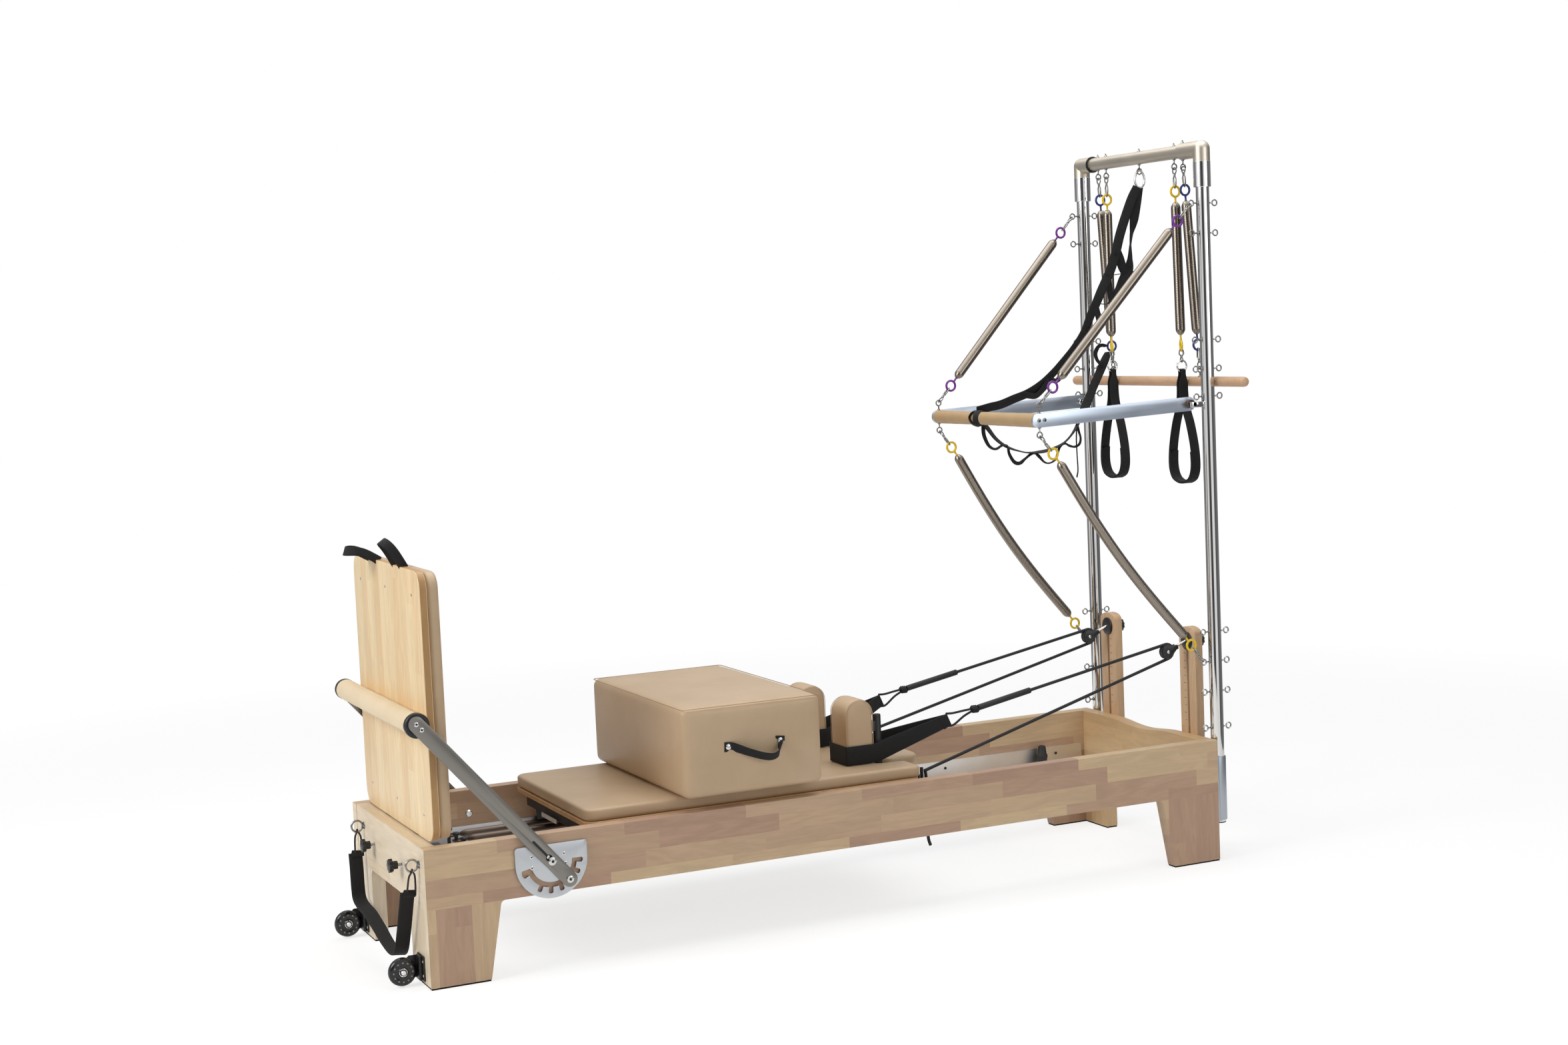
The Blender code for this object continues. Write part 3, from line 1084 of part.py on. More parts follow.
def make_hanging_springs(bodies):
    """Leg springs carry the roll-down bar, arm springs carry the loop handles."""
    hook_z = TOWER_TOP - TUBE_RADIUS - SHANK - RING_RADIUS
    eye_z = ROLL_Z + ROLL_RADIUS + SHANK + RING_RADIUS
    leg = hung_spring("leg_spring", (TOWER_X, TOP_EYES[0], hook_z), (ROLL_X, TOP_EYES[0] - 0.004, eye_z), 0, (0.055, 0.056))
    side_pair(leg, "leg_spring", "spring_steel")
    ring_z = HANG_Z
    arm = hung_spring("arm_spring", (TOWER_X, TOP_EYES[1], hook_z), (HANG_X, TOP_EYES[1] - 0.004, ring_z), 0, (0.056, 0.036))
    side_pair(arm, "arm_spring", "spring_steel")
    bar = turned("bar", [(0, -ROLL_HALF), (ROLL_RADIUS * 0.7, -ROLL_HALF + 0.002), (ROLL_RADIUS, -ROLL_HALF + 0.010),
                         (ROLL_RADIUS, ROLL_HALF - 0.010), (ROLL_RADIUS * 0.7, ROLL_HALF - 0.002), (0, ROLL_HALF)],
                 (ROLL_X, 0, ROLL_Z), (0, 1, 0), 14)
    eyes = []
    for side in (-1, 1):
        eyes += eyebolt((ROLL_X, side * (TOP_EYES[4] + 0.004), ROLL_Z + ROLL_RADIUS), (0, 0, 1), (0, 1, 0))
    finish(fuse(bar, *eyes), "roll_down_bar", "beech", (ROLL_X, 0, ROLL_Z), bodies["roll"])
    make_loop_handles(ring_z, bodies)


def make_loop_handles(ring_z, bodies):
    """A webbing loop with a padded grip, on a D-ring under each arm spring."""
    x, y = HANG_X, TOP_EYES[1] - 0.004
    ring_radius = 0.016
    wire = 0.0025
    ring_top = ring_z + SEAT_IN_EYE + SNAP_WIRE + wire + GAP
    ring = torus("ring", (x, y, ring_top - ring_radius), (0, 1, 0), ring_radius, wire, 12, 4)
    top = ring_top - 2 * ring_radius
    half_top, half_low, height = LOOP_NECK, LOOP_HALF, LOOP_HEIGHT
    bowl, shoulder = top - height + LOOP_BOWL, top - LOOP_SHOULDER
    waist = bowl + LOOP_BOWL * 0.45
    outer = [(y - half_top, top + 0.003), (y - half_top - 0.006, shoulder), (y - half_low, waist)]
    outer += [(y + half_low * cos(radians(a)), bowl + LOOP_BOWL * sin(radians(a))) for a in range(190, 351, 20)]
    outer += [(y + half_low, waist), (y + half_top + 0.006, shoulder), (y + half_top, top + 0.003)]
    inner = []
    for u, v in outer:
        pinch = 0.0 if abs(u - y) > half_top * 2 else copysign(0.001, u - y)
        lift = 0.006 if v < top - height / 2 else -0.008
        inner.append((y + (u - y) * 0.90 - pinch, v + lift))
    loop = plate("loop", outer, "x", x - LOOP_HALF_WIDTH, x + LOOP_HALF_WIDTH, [inner])
    piece = fuse(loop, ring)
    side_pair(piece, "loop_handle", "webbing", (x, y, ring_z), (bodies["near"], bodies["far"]))


def make_safety_strap():
    """A flat daisy-chain strap from the top bar's middle eye to the push-through handle."""
    hook_z = TOWER_TOP - TUBE_RADIUS - SHANK - RING_RADIUS
    top = Vector((TOWER_X, 0, hook_z - 0.012))
    low = Vector((PUSH_HANDLE_X + 0.018, 0, PUSH_HANDLE_Z + 0.028))
    thickness = 0.003
    centre = []
    for i in range(13):
        s = i / 12
        point = top.lerp(low, s)
        centre.append(Vector((point.x - 0.0, 0, point.z - STRAP_SAG * sin(pi * s ** 0.85))))
    outline = []
    for sign in (1, -1):
        path = centre if sign > 0 else list(reversed(centre))
        for i, point in enumerate(path):
            before, after = path[max(i - 1, 0)], path[min(i + 1, len(path) - 1)]
            normal = (after - before).cross(Vector((0, 1, 0))).normalized()
            outline.append((point.x + normal.x * thickness / 2, point.z + normal.z * thickness / 2))
    band = plate("band", outline, "y", -0.0115, 0.0115)
    outer = PUSH_GRIP_RADIUS + 0.0045
    around = turned("wrap", [(PUSH_GRIP_RADIUS + 0.0006, -0.0115), (outer, -0.0115), (outer, 0.0115),
                             (PUSH_GRIP_RADIUS + 0.0006, 0.0115), (PUSH_GRIP_RADIUS + 0.0006, -0.0115)],
                    (PUSH_HANDLE_X, 0, PUSH_HANDLE_Z), (0, 1, 0), 16)
    handle = Vector((PUSH_HANDLE_X, 0, PUSH_HANDLE_Z))
    neck = rod("neck", handle + (low - handle).normalized() * (PUSH_GRIP_RADIUS + 0.002), low, 0.007, 6)
    outline = rounded_box_outline((-0.0065, top.z - 0.004), (0.0065, hook_z - SEAT_IN_EYE), 0.005, 1)
    snap = pipe("snap", [(TOWER_X, u, v) for u, v in outline], 0.0020, 0, True)
    finish(fuse(band, around, neck, snap), "safety_strap", "webbing")


def moving(name, pivot):
    """An empty on a joint's axis; the pieces that move together are its children."""
    empty = bpy.data.objects.new(name, None)
    empty.location = pivot
    empty.parent = ROOT
    COLLECTION.objects.link(empty)
    return empty


def build():
    make_side_rails()
    make_end_panels()
    make_foot_pads()
    make_tracks()
    make_spring_anchor_bar()
    make_quadrant_plates()
    make_foot_bar(None)
    make_casters()
    make_star_knobs()
    make_foot_strap()
    make_jump_board(None)
    make_carriage_deck(None)
    make_carriage_pad(None)
    make_carriage_frame(None)
    make_wheelsets()
    make_carriage_springs()
    make_headrest(None)
    make_shoulder_rests((None, None))
    make_sitting_box(None)
    make_uprights()
    make_tower_top_bar()
    make_risers()
    make_pulleys()
    make_ropes()
    make_push_through_bar(None)
    make_push_springs()
    make_hanging_springs({"roll": None, "near": None, "far": None})
    make_safety_strap()


build()
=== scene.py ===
"""A pilates reformer with its tower: the looks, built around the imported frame.

Pieces are drawn in the machine's own measure: x runs from the outer face of the foot end,
the near side is -y and the floor is z = 0. They are put in the frame's place when they are settled.
"""
from math import atan2, cos, hypot, pi, radians, sin

import bmesh
import bpy
from mathutils import Matrix, Vector


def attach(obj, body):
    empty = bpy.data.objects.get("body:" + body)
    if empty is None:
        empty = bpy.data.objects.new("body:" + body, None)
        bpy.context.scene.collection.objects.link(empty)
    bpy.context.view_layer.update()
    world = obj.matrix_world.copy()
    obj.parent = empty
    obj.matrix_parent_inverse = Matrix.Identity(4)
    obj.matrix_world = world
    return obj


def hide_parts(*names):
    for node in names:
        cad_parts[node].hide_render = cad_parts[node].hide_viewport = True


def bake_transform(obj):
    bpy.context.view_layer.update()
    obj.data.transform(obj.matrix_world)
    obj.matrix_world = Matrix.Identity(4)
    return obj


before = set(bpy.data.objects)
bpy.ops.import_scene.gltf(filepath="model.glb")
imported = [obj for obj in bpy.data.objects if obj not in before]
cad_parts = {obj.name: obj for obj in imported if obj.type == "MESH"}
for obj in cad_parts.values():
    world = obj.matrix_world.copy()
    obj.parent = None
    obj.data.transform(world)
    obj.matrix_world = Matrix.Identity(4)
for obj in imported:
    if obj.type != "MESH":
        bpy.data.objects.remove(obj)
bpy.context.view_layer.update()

# Side rails, legs and end panels
# Rubberwood boards glued up from finger-jointed staves, sanded and sealed with a satin lacquer.
# The rails' grain runs along the machine, and the legs glued under them have theirs upright.
FRAME_LENGTH = 2.357
RAIL_TOP = 0.354
RAIL_BOTTOM = 0.2005
RIM = 0.350
BOARD = 0.038
INNER = RIM - BOARD


def linear(code):
    """An sRGB hex value as the linear colour that a shader takes."""
    parts = [int(code[i:i + 2], 16) / 255 for i in (0, 2, 4)]
    return (*[c / 12.92 if c <= 0.04045 else ((c + 0.055) / 1.055) ** 2.4 for c in parts], 1.0)


def add(mat, kind, inputs=None, **settings):
    """One node with its settings; an input is a value, a socket, or a node whose first output is meant."""
    node = mat.node_tree.nodes.new("ShaderNode" + kind)
    for key, value in settings.items():
        setattr(node, key, value)
    for socket, value in (inputs or {}).items():
        if isinstance(value, bpy.types.Node):
            value = value.outputs[0]
        if isinstance(value, bpy.types.NodeSocket):
            mat.node_tree.links.new(value, node.inputs[socket])
        else:
            node.inputs[socket].default_value = value
    return node


def blank(name):
    """A material with no nodes yet."""
    mat = bpy.data.materials.new(name)
    mat.use_nodes = True
    mat.node_tree.nodes.clear()
    return mat


def surfaced(mat, inputs):
    """Gives the material its one shader, with these inputs."""
    shader = add(mat, "BsdfPrincipled", inputs)
    add(mat, "OutputMaterial", {"Surface": shader})
    return mat


def lacquered_wood(name, along, across, light, dark, stave=(0.34, 0.046), legs_below=None, gloss=0.40):
    """Staves of differing tone, each cut from its own piece of tree, under a thin satin lacquer."""
    mat = blank(name)
    place = add(mat, "TexCoord").outputs["Object"]
    axes = add(mat, "SeparateXYZ", {0: place}).outputs
    run, side = axes[along], axes[across]
    through = axes[3 - along - across]
    leg = 0.0
    if legs_below:
        leg = add(mat, "Math", {0: axes[2], 1: legs_below}, operation="LESS_THAN")
        run, side = (add(mat, "Mix", {0: leg, 2: a, 3: b}) for a, b in ((run, side), (side, run)))
    row = add(mat, "Math", {0: add(mat, "Math", {0: side, 1: stave[1]}, operation="DIVIDE")},
              operation="FLOOR")
    slip = add(mat, "TexWhiteNoise", {"W": row}, noise_dimensions="1D")
    step = add(mat, "Math", {0: run, 1: stave[0]}, operation="DIVIDE")
    step = add(mat, "Math", {0: slip.outputs["Value"], 1: 5.0, 2: step}, operation="MULTIPLY_ADD")
    step = add(mat, "Math", {0: step}, operation="FLOOR")
    cell = add(mat, "CombineXYZ", {0: step, 1: row, 2: leg})
    chance = add(mat, "TexWhiteNoise", {"Vector": cell}, noise_dimensions="3D")
    log = add(mat, "VectorMath", {0: chance.outputs["Color"], "Scale": 4.0}, operation="SCALE")
    spot = add(mat, "CombineXYZ", {0: run, 1: side, 2: through})
    spot = add(mat, "VectorMath", {0: spot, 1: log}, operation="ADD")
    figure = add(mat, "TexNoise", {"Vector": add(mat, "Mapping", {0: spot, "Scale": (2.6, 17.0, 17.0)}),
                                   "Scale": 1.0, "Detail": 3.0, "Roughness": 0.55, "Distortion": 0.6})
    rings = add(mat, "Math", {0: figure, 1: 11.0}, operation="MULTIPLY")
    rings = add(mat, "Math", {0: rings, 1: 1.0}, operation="PINGPONG")
    pores = add(mat, "TexNoise", {"Vector": add(mat, "Mapping", {0: spot, "Scale": (22.0, 520.0, 520.0)}),
                                  "Scale": 1.0, "Detail": 3.0, "Roughness": 0.7})
    tone = add(mat, "ValToRGB", {0: chance.outputs["Value"]})
    tone.color_ramp.elements[0].color = linear(light)
    tone.color_ramp.elements[1].color = linear(dark)
    tone.color_ramp.elements[0].position = 0.10
    shade = add(mat, "MapRange", {"Value": rings, "To Min": 0.94, "To Max": 1.04})
    speck = add(mat, "MapRange", {"Value": pores, "From Min": 0.35, "From Max": 0.62, "To Min": 0.93,
                                  "To Max": 1.02})
    shade = add(mat, "Math", {0: shade, 1: speck}, operation="MULTIPLY")
    wide = add(mat, "MapRange", {"Value": figure, "From Min": 0.3, "From Max": 0.7, "To Min": 0.965,
                                 "To Max": 1.035})
    shade = add(mat, "Math", {0: shade, 1: wide}, operation="MULTIPLY")
    colour = add(mat, "VectorMath", {0: tone, "Scale": shade}, operation="SCALE")
    dull = add(mat, "MapRange", {"Value": pores, "To Min": gloss - 0.05, "To Max": gloss + 0.09})
    bump = add(mat, "Bump", {"Height": pores, "Strength": 0.10, "Distance": 0.0006})
    return surfaced(mat, {"Base Color": colour, "Roughness": dull, "Normal": bump, "IOR": 1.5})


def dress(mat, *nodes):
    """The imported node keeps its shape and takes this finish."""
    for name in nodes:
        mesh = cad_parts[name].data
        if mesh.materials:
            mesh.materials[0] = mat
        else:
            mesh.materials.append(mat)


# Rubberwood is pale and pinkish brown with fine dark pores; its staves differ in tone, and the satin
# lacquer lies over them as one soft sheen. The end panels are of paler, yellower staves.
rail_wood = lacquered_wood("rubberwood_rail", 0, 2, "DCBF98", "BE9A82", legs_below=RAIL_BOTTOM)
end_wood = lacquered_wood("rubberwood_end", 1, 2, "F0E0C6", "E6D2B4", legs_below=0.197)
dress(rail_wood, "side_rail_near", "side_rail_far")
head_wood = lacquered_wood("rubberwood_head", 1, 2, "E2C294", "CDA97D", legs_below=0.197)
dress(end_wood, "foot_end_panel")
dress(head_wood, "head_end_panel")

# Foot pads
# Die-cut black rubber, glued under each leg.
# Matt black with no highlight. Its grit is drawn about 1 mm wide, coarser than it is, to show at all.
foot_rubber = blank("black_rubber")
grit = add(foot_rubber, "TexNoise", {"Vector": add(foot_rubber, "TexCoord").outputs["Object"],
                                     "Scale": 900.0})
grit = add(foot_rubber, "Bump", {"Height": grit, "Strength": 0.3, "Distance": 0.0004})
surfaced(foot_rubber, {"Base Color": linear("0D0C0C"), "Roughness": 0.9, "Specular IOR Level": 0.2,
                       "Normal": grit})
dress(foot_rubber, "foot_pad_foot_near", "foot_pad_foot_far", "foot_pad_head_near", "foot_pad_head_far")

# Tracks and bumpers
# Polished aluminium angles screwed inside the rails; rubber buffers stop the carriage's wheels.
SHIFT = Vector((1.17225, 0, 0))        # from the foot end to the frame's origin
TRACK_LOW = RAIL_BOTTOM + 0.002
TRACK_WALL = 0.0035
# How a flat shape is stood up: its thickness then lies along x, y or z.
FACINGS = {"x": Matrix(((0, 0, 1, 0), (1, 0, 0, 0), (0, 1, 0, 0), (0, 0, 0, 1))),
           "y": Matrix(((1, 0, 0, 0), (0, 0, 1, 0), (0, 1, 0, 0), (0, 0, 0, 1))),
           "z": Matrix.Identity(4)}


def settle(name, bm, body, mat, stands_for=(), sharp=35):
    """Puts a finished shape, or several as one, in the frame's place as a piece that rides on a body."""
    if isinstance(bm, list):
        bm = joined(bm)
    bmesh.ops.recalc_face_normals(bm, faces=bm.faces)
    bmesh.ops.translate(bm, verts=bm.verts, vec=-SHIFT)
    mesh = bpy.data.meshes.new(name)
    bm.to_mesh(mesh)
    bm.free()
    mesh.shade_smooth()
    mesh.set_sharp_from_angle(angle=radians(sharp))
    mesh.materials.append(mat)
    piece = bpy.data.objects.new(name, mesh)
    bpy.context.scene.collection.objects.link(piece)
    if body:
        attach(piece, body)
    if stands_for:
        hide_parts(*([stands_for] if isinstance(stands_for, str) else stands_for))
    return piece


def joined(shapes):
    """Several finished shapes as one."""
    whole = bmesh.new()
    for shape in shapes:
        mesh = bpy.data.meshes.new("shape")
        shape.to_mesh(mesh)
        shape.free()
        whole.from_mesh(mesh)
        bpy.data.meshes.remove(mesh)
    return whole


def eased(bm, rounding, segments):
    """Every sharp edge broken to a small radius, as a hand or a mould leaves it."""
    edges = [e for e in bm.edges if len(e.link_faces) == 2 and e.calc_face_angle() > 0.7]
    bmesh.ops.bevel(bm, geom=edges, offset=rounding, offset_type="OFFSET", segments=segments, profile=0.5,
                    affect="EDGES", clamp_overlap=True, material=-1)
    return bm


def slab(outline, axis, low, high, holes=(), rounding=0.0, segments=3):
    """A flat shape sawn or pressed from an outline. Axis x takes (y, z), y takes (x, z), z takes (x, y)."""
    bm = bmesh.new()
    edges = []
    for ring in (outline, *holes):
        verts = [bm.verts.new((u, v, low)) for u, v in ring]
        edges += [bm.edges.new((verts[i - 1], verts[i])) for i in range(len(verts))]
    bmesh.ops.triangle_fill(bm, use_beauty=True, use_dissolve=False, edges=edges)
    grown = bmesh.ops.extrude_face_region(bm, geom=bm.faces[:])
    risen = [item for item in grown["geom"] if isinstance(item, bmesh.types.BMVert)]
    bmesh.ops.translate(bm, verts=risen, vec=(0, 0, high - low))
    bm.transform(FACINGS[axis])
    bmesh.ops.recalc_face_normals(bm, faces=bm.faces)
    flat = [e for e in bm.edges if len(e.link_faces) == 2 and e.calc_face_angle() < 0.001]
    if not holes:
        bmesh.ops.dissolve_edges(bm, edges=flat, use_verts=False)
    return eased(bm, rounding, segments) if rounding else bm


def bar(start, end, radius, sides=32, end_radius=None, rounding=0.0):
    """A round bar, rod or pin between two points."""
    start, end = Vector(start), Vector(end)
    span = end - start
    bm = bmesh.new()
    turn = Vector((0, 0, 1)).rotation_difference(span.normalized()).to_matrix().to_4x4()
    bmesh.ops.create_cone(bm, cap_ends=True, segments=sides, radius1=radius,
                          radius2=radius if end_radius is None else end_radius, depth=span.length,
                          matrix=Matrix.Translation((start + end) / 2) @ turn)
    return eased(bm, rounding, 3) if rounding else bm


def turned(profile, centre, axis, steps=40):
    """A piece from the lathe: profile is (radius, height) along its outer side."""
    bm = bmesh.new()
    verts = [bm.verts.new((max(r, 0.0), 0, h)) for r, h in profile]
    edges = [bm.edges.new(pair) for pair in zip(verts, verts[1:])]
    bmesh.ops.spin(bm, geom=verts + edges, cent=(0, 0, 0), axis=(0, 0, 1), angle=2 * pi, steps=steps,
                   use_merge=True)
    bmesh.ops.remove_doubles(bm, verts=bm.verts, dist=1e-6)
    turn = Vector((0, 0, 1)).rotation_difference(Vector(axis).normalized()).to_matrix().to_4x4()
    bm.transform(Matrix.Translation(centre) @ turn)
    return bm


def ring_arc(centre, radius, start, end, steps):
    """Points on an arc, from one angle to another in degrees."""
    return [(centre[0] + radius * cos(radians(start + (end - start) * i / steps)),
             centre[1] + radius * sin(radians(start + (end - start) * i / steps))) for i in range(steps + 1)]


def polished_metal(name, code, rough, brushed=None, depth=0.0):
    """A bare metal; brushed stretches its fine marks along one axis."""
    mat = blank(name)
    place = add(mat, "TexCoord").outputs["Object"]
    scale = (500.0, 500.0, 500.0) if brushed is None else tuple(9.0 if i == brushed else 1500.0
                                                                for i in range(3))
    marks = add(mat, "TexNoise", {"Vector": add(mat, "Mapping", {0: place, "Scale": scale}), "Scale": 1.0,
                                  "Detail": 2.0})
    smears = add(mat, "TexNoise", {"Vector": place, "Scale": 14.0, "Detail": 3.0})
    worn = add(mat, "Math", {0: marks, 1: 0.5, 2: smears}, operation="MULTIPLY_ADD")
    dull = add(mat, "MapRange", {"Value": worn, "From Min": 0.4, "From Max": 1.1, "To Min": rough * 0.90,
                                 "To Max": rough * 1.15})
    inputs = {"Base Color": linear(code), "Metallic": 1.0, "Roughness": dull}
    if depth:
        inputs["Normal"] = add(mat, "Bump", {"Height": marks, "Strength": 0.25, "Distance": depth})
    return surfaced(mat, inputs)


# Extruded aluminium, polished: pale, with broad soft reflections.
bright_aluminium = polished_metal("polished_aluminium", "E2E4E6", 0.34)
# Moulded rubber: black with a dull, slightly uneven shine.
bumper_rubber = blank("moulded_rubber")
patchy = add(bumper_rubber, "TexNoise", {"Vector": add(bumper_rubber, "TexCoord").outputs["Object"],
                                         "Scale": 160.0})
patchy = add(bumper_rubber, "MapRange", {"Value": patchy, "To Min": 0.45, "To Max": 0.7})
surfaced(bumper_rubber, {"Base Color": linear("1B1B1C"), "Roughness": patchy})
SIDES = ((-1, "near"), (1, "far"))
for side, tag in SIDES:
    face = side * (INNER - 0.0003)
    reach, wall = face - side * 0.040, face - side * TRACK_WALL
    angle = [(face, TRACK_LOW), (reach, TRACK_LOW), (reach, TRACK_LOW + TRACK_WALL),
             (wall, TRACK_LOW + TRACK_WALL), (wall, TRACK_LOW + 0.052), (face, TRACK_LOW + 0.052)]
    track = slab(angle, "x", 0.060, FRAME_LENGTH - BOARD - 0.012, rounding=0.0006, segments=2)
    screws = [turned([(0, 0.0012), (0.0022, 0.0012), (0.0026, 0.0022), (0.004, 0.0018), (0.0045, 0), (0, 0)],
                     (x, wall, 0.2315), (0, -side, 0), 20) for x in (0.41, 0.80, 1.20, 1.52, 1.82, 2.213)]
    settle("track_angle_" + tag, track, "frame", bright_aluminium, "track_" + tag)
    settle("track_screws_" + tag, screws, "frame", bumper_rubber)
    centre_y = face - side * 0.023
    bumper = turned([(0, 0), (0.0125, 0), (0.0135, 0.002), (0.0155, 0.020), (0.0168, 0.023), (0.0168, 0.030),
                     (0.0140, 0.034), (0.0118, 0.054), (0.0105, 0.0575), (0.008, 0.059), (0, 0.0592)],
                    (2.152, centre_y, TRACK_LOW + TRACK_WALL), (0, 0, 1))
    stop = turned([(0, 0), (0.0115, 0), (0.0135, 0.003), (0.0135, 0.021), (0.0105, 0.0245), (0, 0.025)],
                  (0.352, centre_y, TRACK_LOW + TRACK_WALL), (0, 0, 1))
    settle("track_bumpers_" + tag, [bumper, stop], "frame", bumper_rubber)

# End faces
# The end panel's face laps over the rails' sawn ends, so that its light face runs out to both corners.
laps = []
for side in (-1, 1):
    lap = [(side * 0.3120, 0.0066), (side * 0.3499, 0.0066), (side * 0.3499, 0.3536), (side * 0.3120, 0.3536)]
    laps.append(slab(lap, "x", -0.0006, -0.0001))
settle("foot_end_faces", laps, "frame", end_wood)

# Rail bolts
# A plated cap screw inside each rail holds the quadrant plate's pivot.
# Zinc-nickel plate: bright, and a little soft in what it mirrors.
plated_steel = polished_metal("plated_steel", "C9C8C6", 0.22)
bolts = [turned([(0, 0.0022), (0.0042, 0.0022), (0.0042, 0.0042), (0.0072, 0.0042), (0.0085, 0.0028),
                 (0.0105, 0.0012), (0.0105, 0), (0, 0)], (0.314, side * INNER, 0.287), (0, -side, 0), 24)
         for side in (-1, 1)]
settle("rail_bolts", bolts, "frame", plated_steel)

# Spring anchor bar and carriage springs
# A powder-coated steel bar with five pegs; five close-wound steel springs hook on it and pull the carriage.
PACK_Z = 0.272
PACK_Y = (-0.14, -0.07, 0.0, 0.07, 0.14)
ANCHOR_X = 0.205
PACK_END = 0.9197


def powder_coat(name, code, rough=0.48):
    """Baked powder paint: a fine orange peel over a nearly flat colour."""
    mat = blank(name)
    place = add(mat, "TexCoord").outputs["Object"]
    peel = add(mat, "TexNoise", {"Vector": place, "Scale": 1100.0, "Detail": 1.0})
    dust = add(mat, "TexNoise", {"Vector": place, "Scale": 22.0, "Detail": 4.0})
    dull = add(mat, "MapRange", {"Value": dust, "To Min": rough - 0.07, "To Max": rough + 0.1})
    tint = add(mat, "MapRange", {"Value": dust, "To Min": 0.9, "To Max": 1.25})
    base = add(mat, "VectorMath", {0: linear(code)[:3], "Scale": tint}, operation="SCALE")
    return surfaced(mat, {"Base Color": base, "Roughness": dull,
                          "Normal": add(mat, "Bump", {"Height": peel, "Strength": 0.15, "Distance": 0.0002})})


def flowing(points, steps):
    """A smooth line through the points (Catmull-Rom), with steps pieces between two of them."""
    points = [Vector(p) for p in points]
    ends = [2 * points[0] - points[1], *points, 2 * points[-1] - points[-2]]
    line = []
    for a, b, c, d in zip(ends, ends[1:], ends[2:], ends[3:]):
        for i in range(steps):
            t = i / steps
            line.append(0.5 * (2 * b + (c - a) * t + (2 * a - 5 * b + 4 * c - d) * t * t
                               + (3 * b - a - 3 * c + d) * t ** 3))
    return line + [points[-1]]


def bent(points, radius, sides=12, closed=False):
    """Round wire or tube bent along points."""
    curve = bpy.data.curves.new("wire", "CURVE")
    curve.dimensions = "3D"
    curve.bevel_depth = radius
    curve.bevel_resolution = sides // 2 - 2
    curve.use_fill_caps = not closed
    spline = curve.splines.new("POLY")
    spline.points.add(len(points) - 1)
    for target, point in zip(spline.points, points):
        target.co = (*point, 1)
    spline.use_cyclic_u = closed
    holder = bpy.data.objects.new("wire", curve)
    mesh = bpy.data.meshes.new_from_object(holder)
    bm = bmesh.new()
    bm.from_mesh(mesh)
    bmesh.ops.remove_doubles(bm, verts=bm.verts, dist=1e-6)
    bpy.data.objects.remove(holder)
    bpy.data.meshes.remove(mesh)
    return bm


def woven(points, across, section, girth=0.0, swell=None):
    """A strap, rope or coil: the section (across, through) carried along points.

    UV map 'lay' keeps its real measure. swell scales the section by the length run and the share of the
    way round.
    """
    points = [Vector(p) for p in points]
    rows, cols = len(points), len(section)
    run = [0.0]
    for a, b in zip(points, points[1:]):
        run.append(run[-1] + (b - a).length)
    frames = []
    last = Vector(across[0] if isinstance(across, list) else across)
    for i in range(rows):
        way = (points[min(i + 1, rows - 1)] - points[max(i - 1, 0)]).normalized()
        wish = Vector(across[i]) if isinstance(across, list) else last
        side = (wish - way * wish.dot(way)).normalized()
        last = side
        frames.append((side, way.cross(side)))
    edge = [0.0]
    for a, b in zip(section, section[1:] + section[:1]):
        edge.append(edge[-1] + hypot(a[0] - b[0], a[1] - b[1]))
    bm = bmesh.new()
    lay = bm.loops.layers.uv.new("lay")
    bmesh.ops.create_grid(bm, x_segments=rows - 1, y_segments=cols, size=0.5)
    for face in bm.faces:
        for loop in face.loops:
            i = round((loop.vert.co.x + 0.5) * (rows - 1))
            j = round((loop.vert.co.y + 0.5) * cols)
            loop[lay].uv = (run[i], edge[j] if not girth else girth * j / cols)
    for vert in bm.verts:
        i = round((vert.co.x + 0.5) * (rows - 1))
        j = round((vert.co.y + 0.5) * cols) % cols
        side, through = frames[i]
        scale = swell(run[i], j / cols) if swell else 1
        vert.co = points[i] + (side * section[j][0] + through * section[j][1]) * scale
    bmesh.ops.remove_doubles(bm, verts=bm.verts, dist=1e-7)
    rims = [e for e in bm.edges if len(e.link_faces) == 1]
    if rims:
        bmesh.ops.holes_fill(bm, edges=rims, sides=0)
    return bm


def round_section(radius, sides=12):
    """The cut end of a round cord."""
    return [(radius * cos(2 * pi * k / sides), radius * sin(2 * pi * k / sides)) for k in range(sides)]


def coil(line, outside, pitch, taper=0.022, sides=20, rows=6):
    """A close-wound spring along a line: its turns stand out as ribs, and its ends are drawn in to cones."""
    lengths = [0.0]
    for a, b in zip(line, line[1:]):
        lengths.append(lengths[-1] + (b - a).length)
    whole = lengths[-1]
    count = int(whole / pitch * rows)
    points, k = [], 0
    for i in range(count + 1):
        s = whole * i / count
        while k < len(line) - 2 and lengths[k + 1] < s:
            k += 1
        points.append(line[k] + (line[k + 1] - line[k]).normalized() * (s - lengths[k]))

    def swell(s, share):
        near_end = min(1.0, max(0.0, min(s, whole - s) / taper))
        cone = 0.34 + 0.66 * sin(pi / 2 * near_end) ** 0.8
        return cone - 0.00020 / outside * (1 - abs(cos(pi * (s / pitch - share))))

    return woven(points, (0, 1, 0), round_section(outside, sides), swell=swell)


def hoop(centre, normal, radius, wire, steps=28, sides=10):
    """A ring of round wire that looks along normal."""
    normal = Vector(normal).normalized()
    side = normal.orthogonal().normalized()
    other = normal.cross(side)
    points = []
    for i in range(steps):
        a = 2 * pi * i / steps
        points.append(Vector(centre) + side * radius * cos(a) + other * radius * sin(a))
    return bent(points, wire, sides, closed=True)


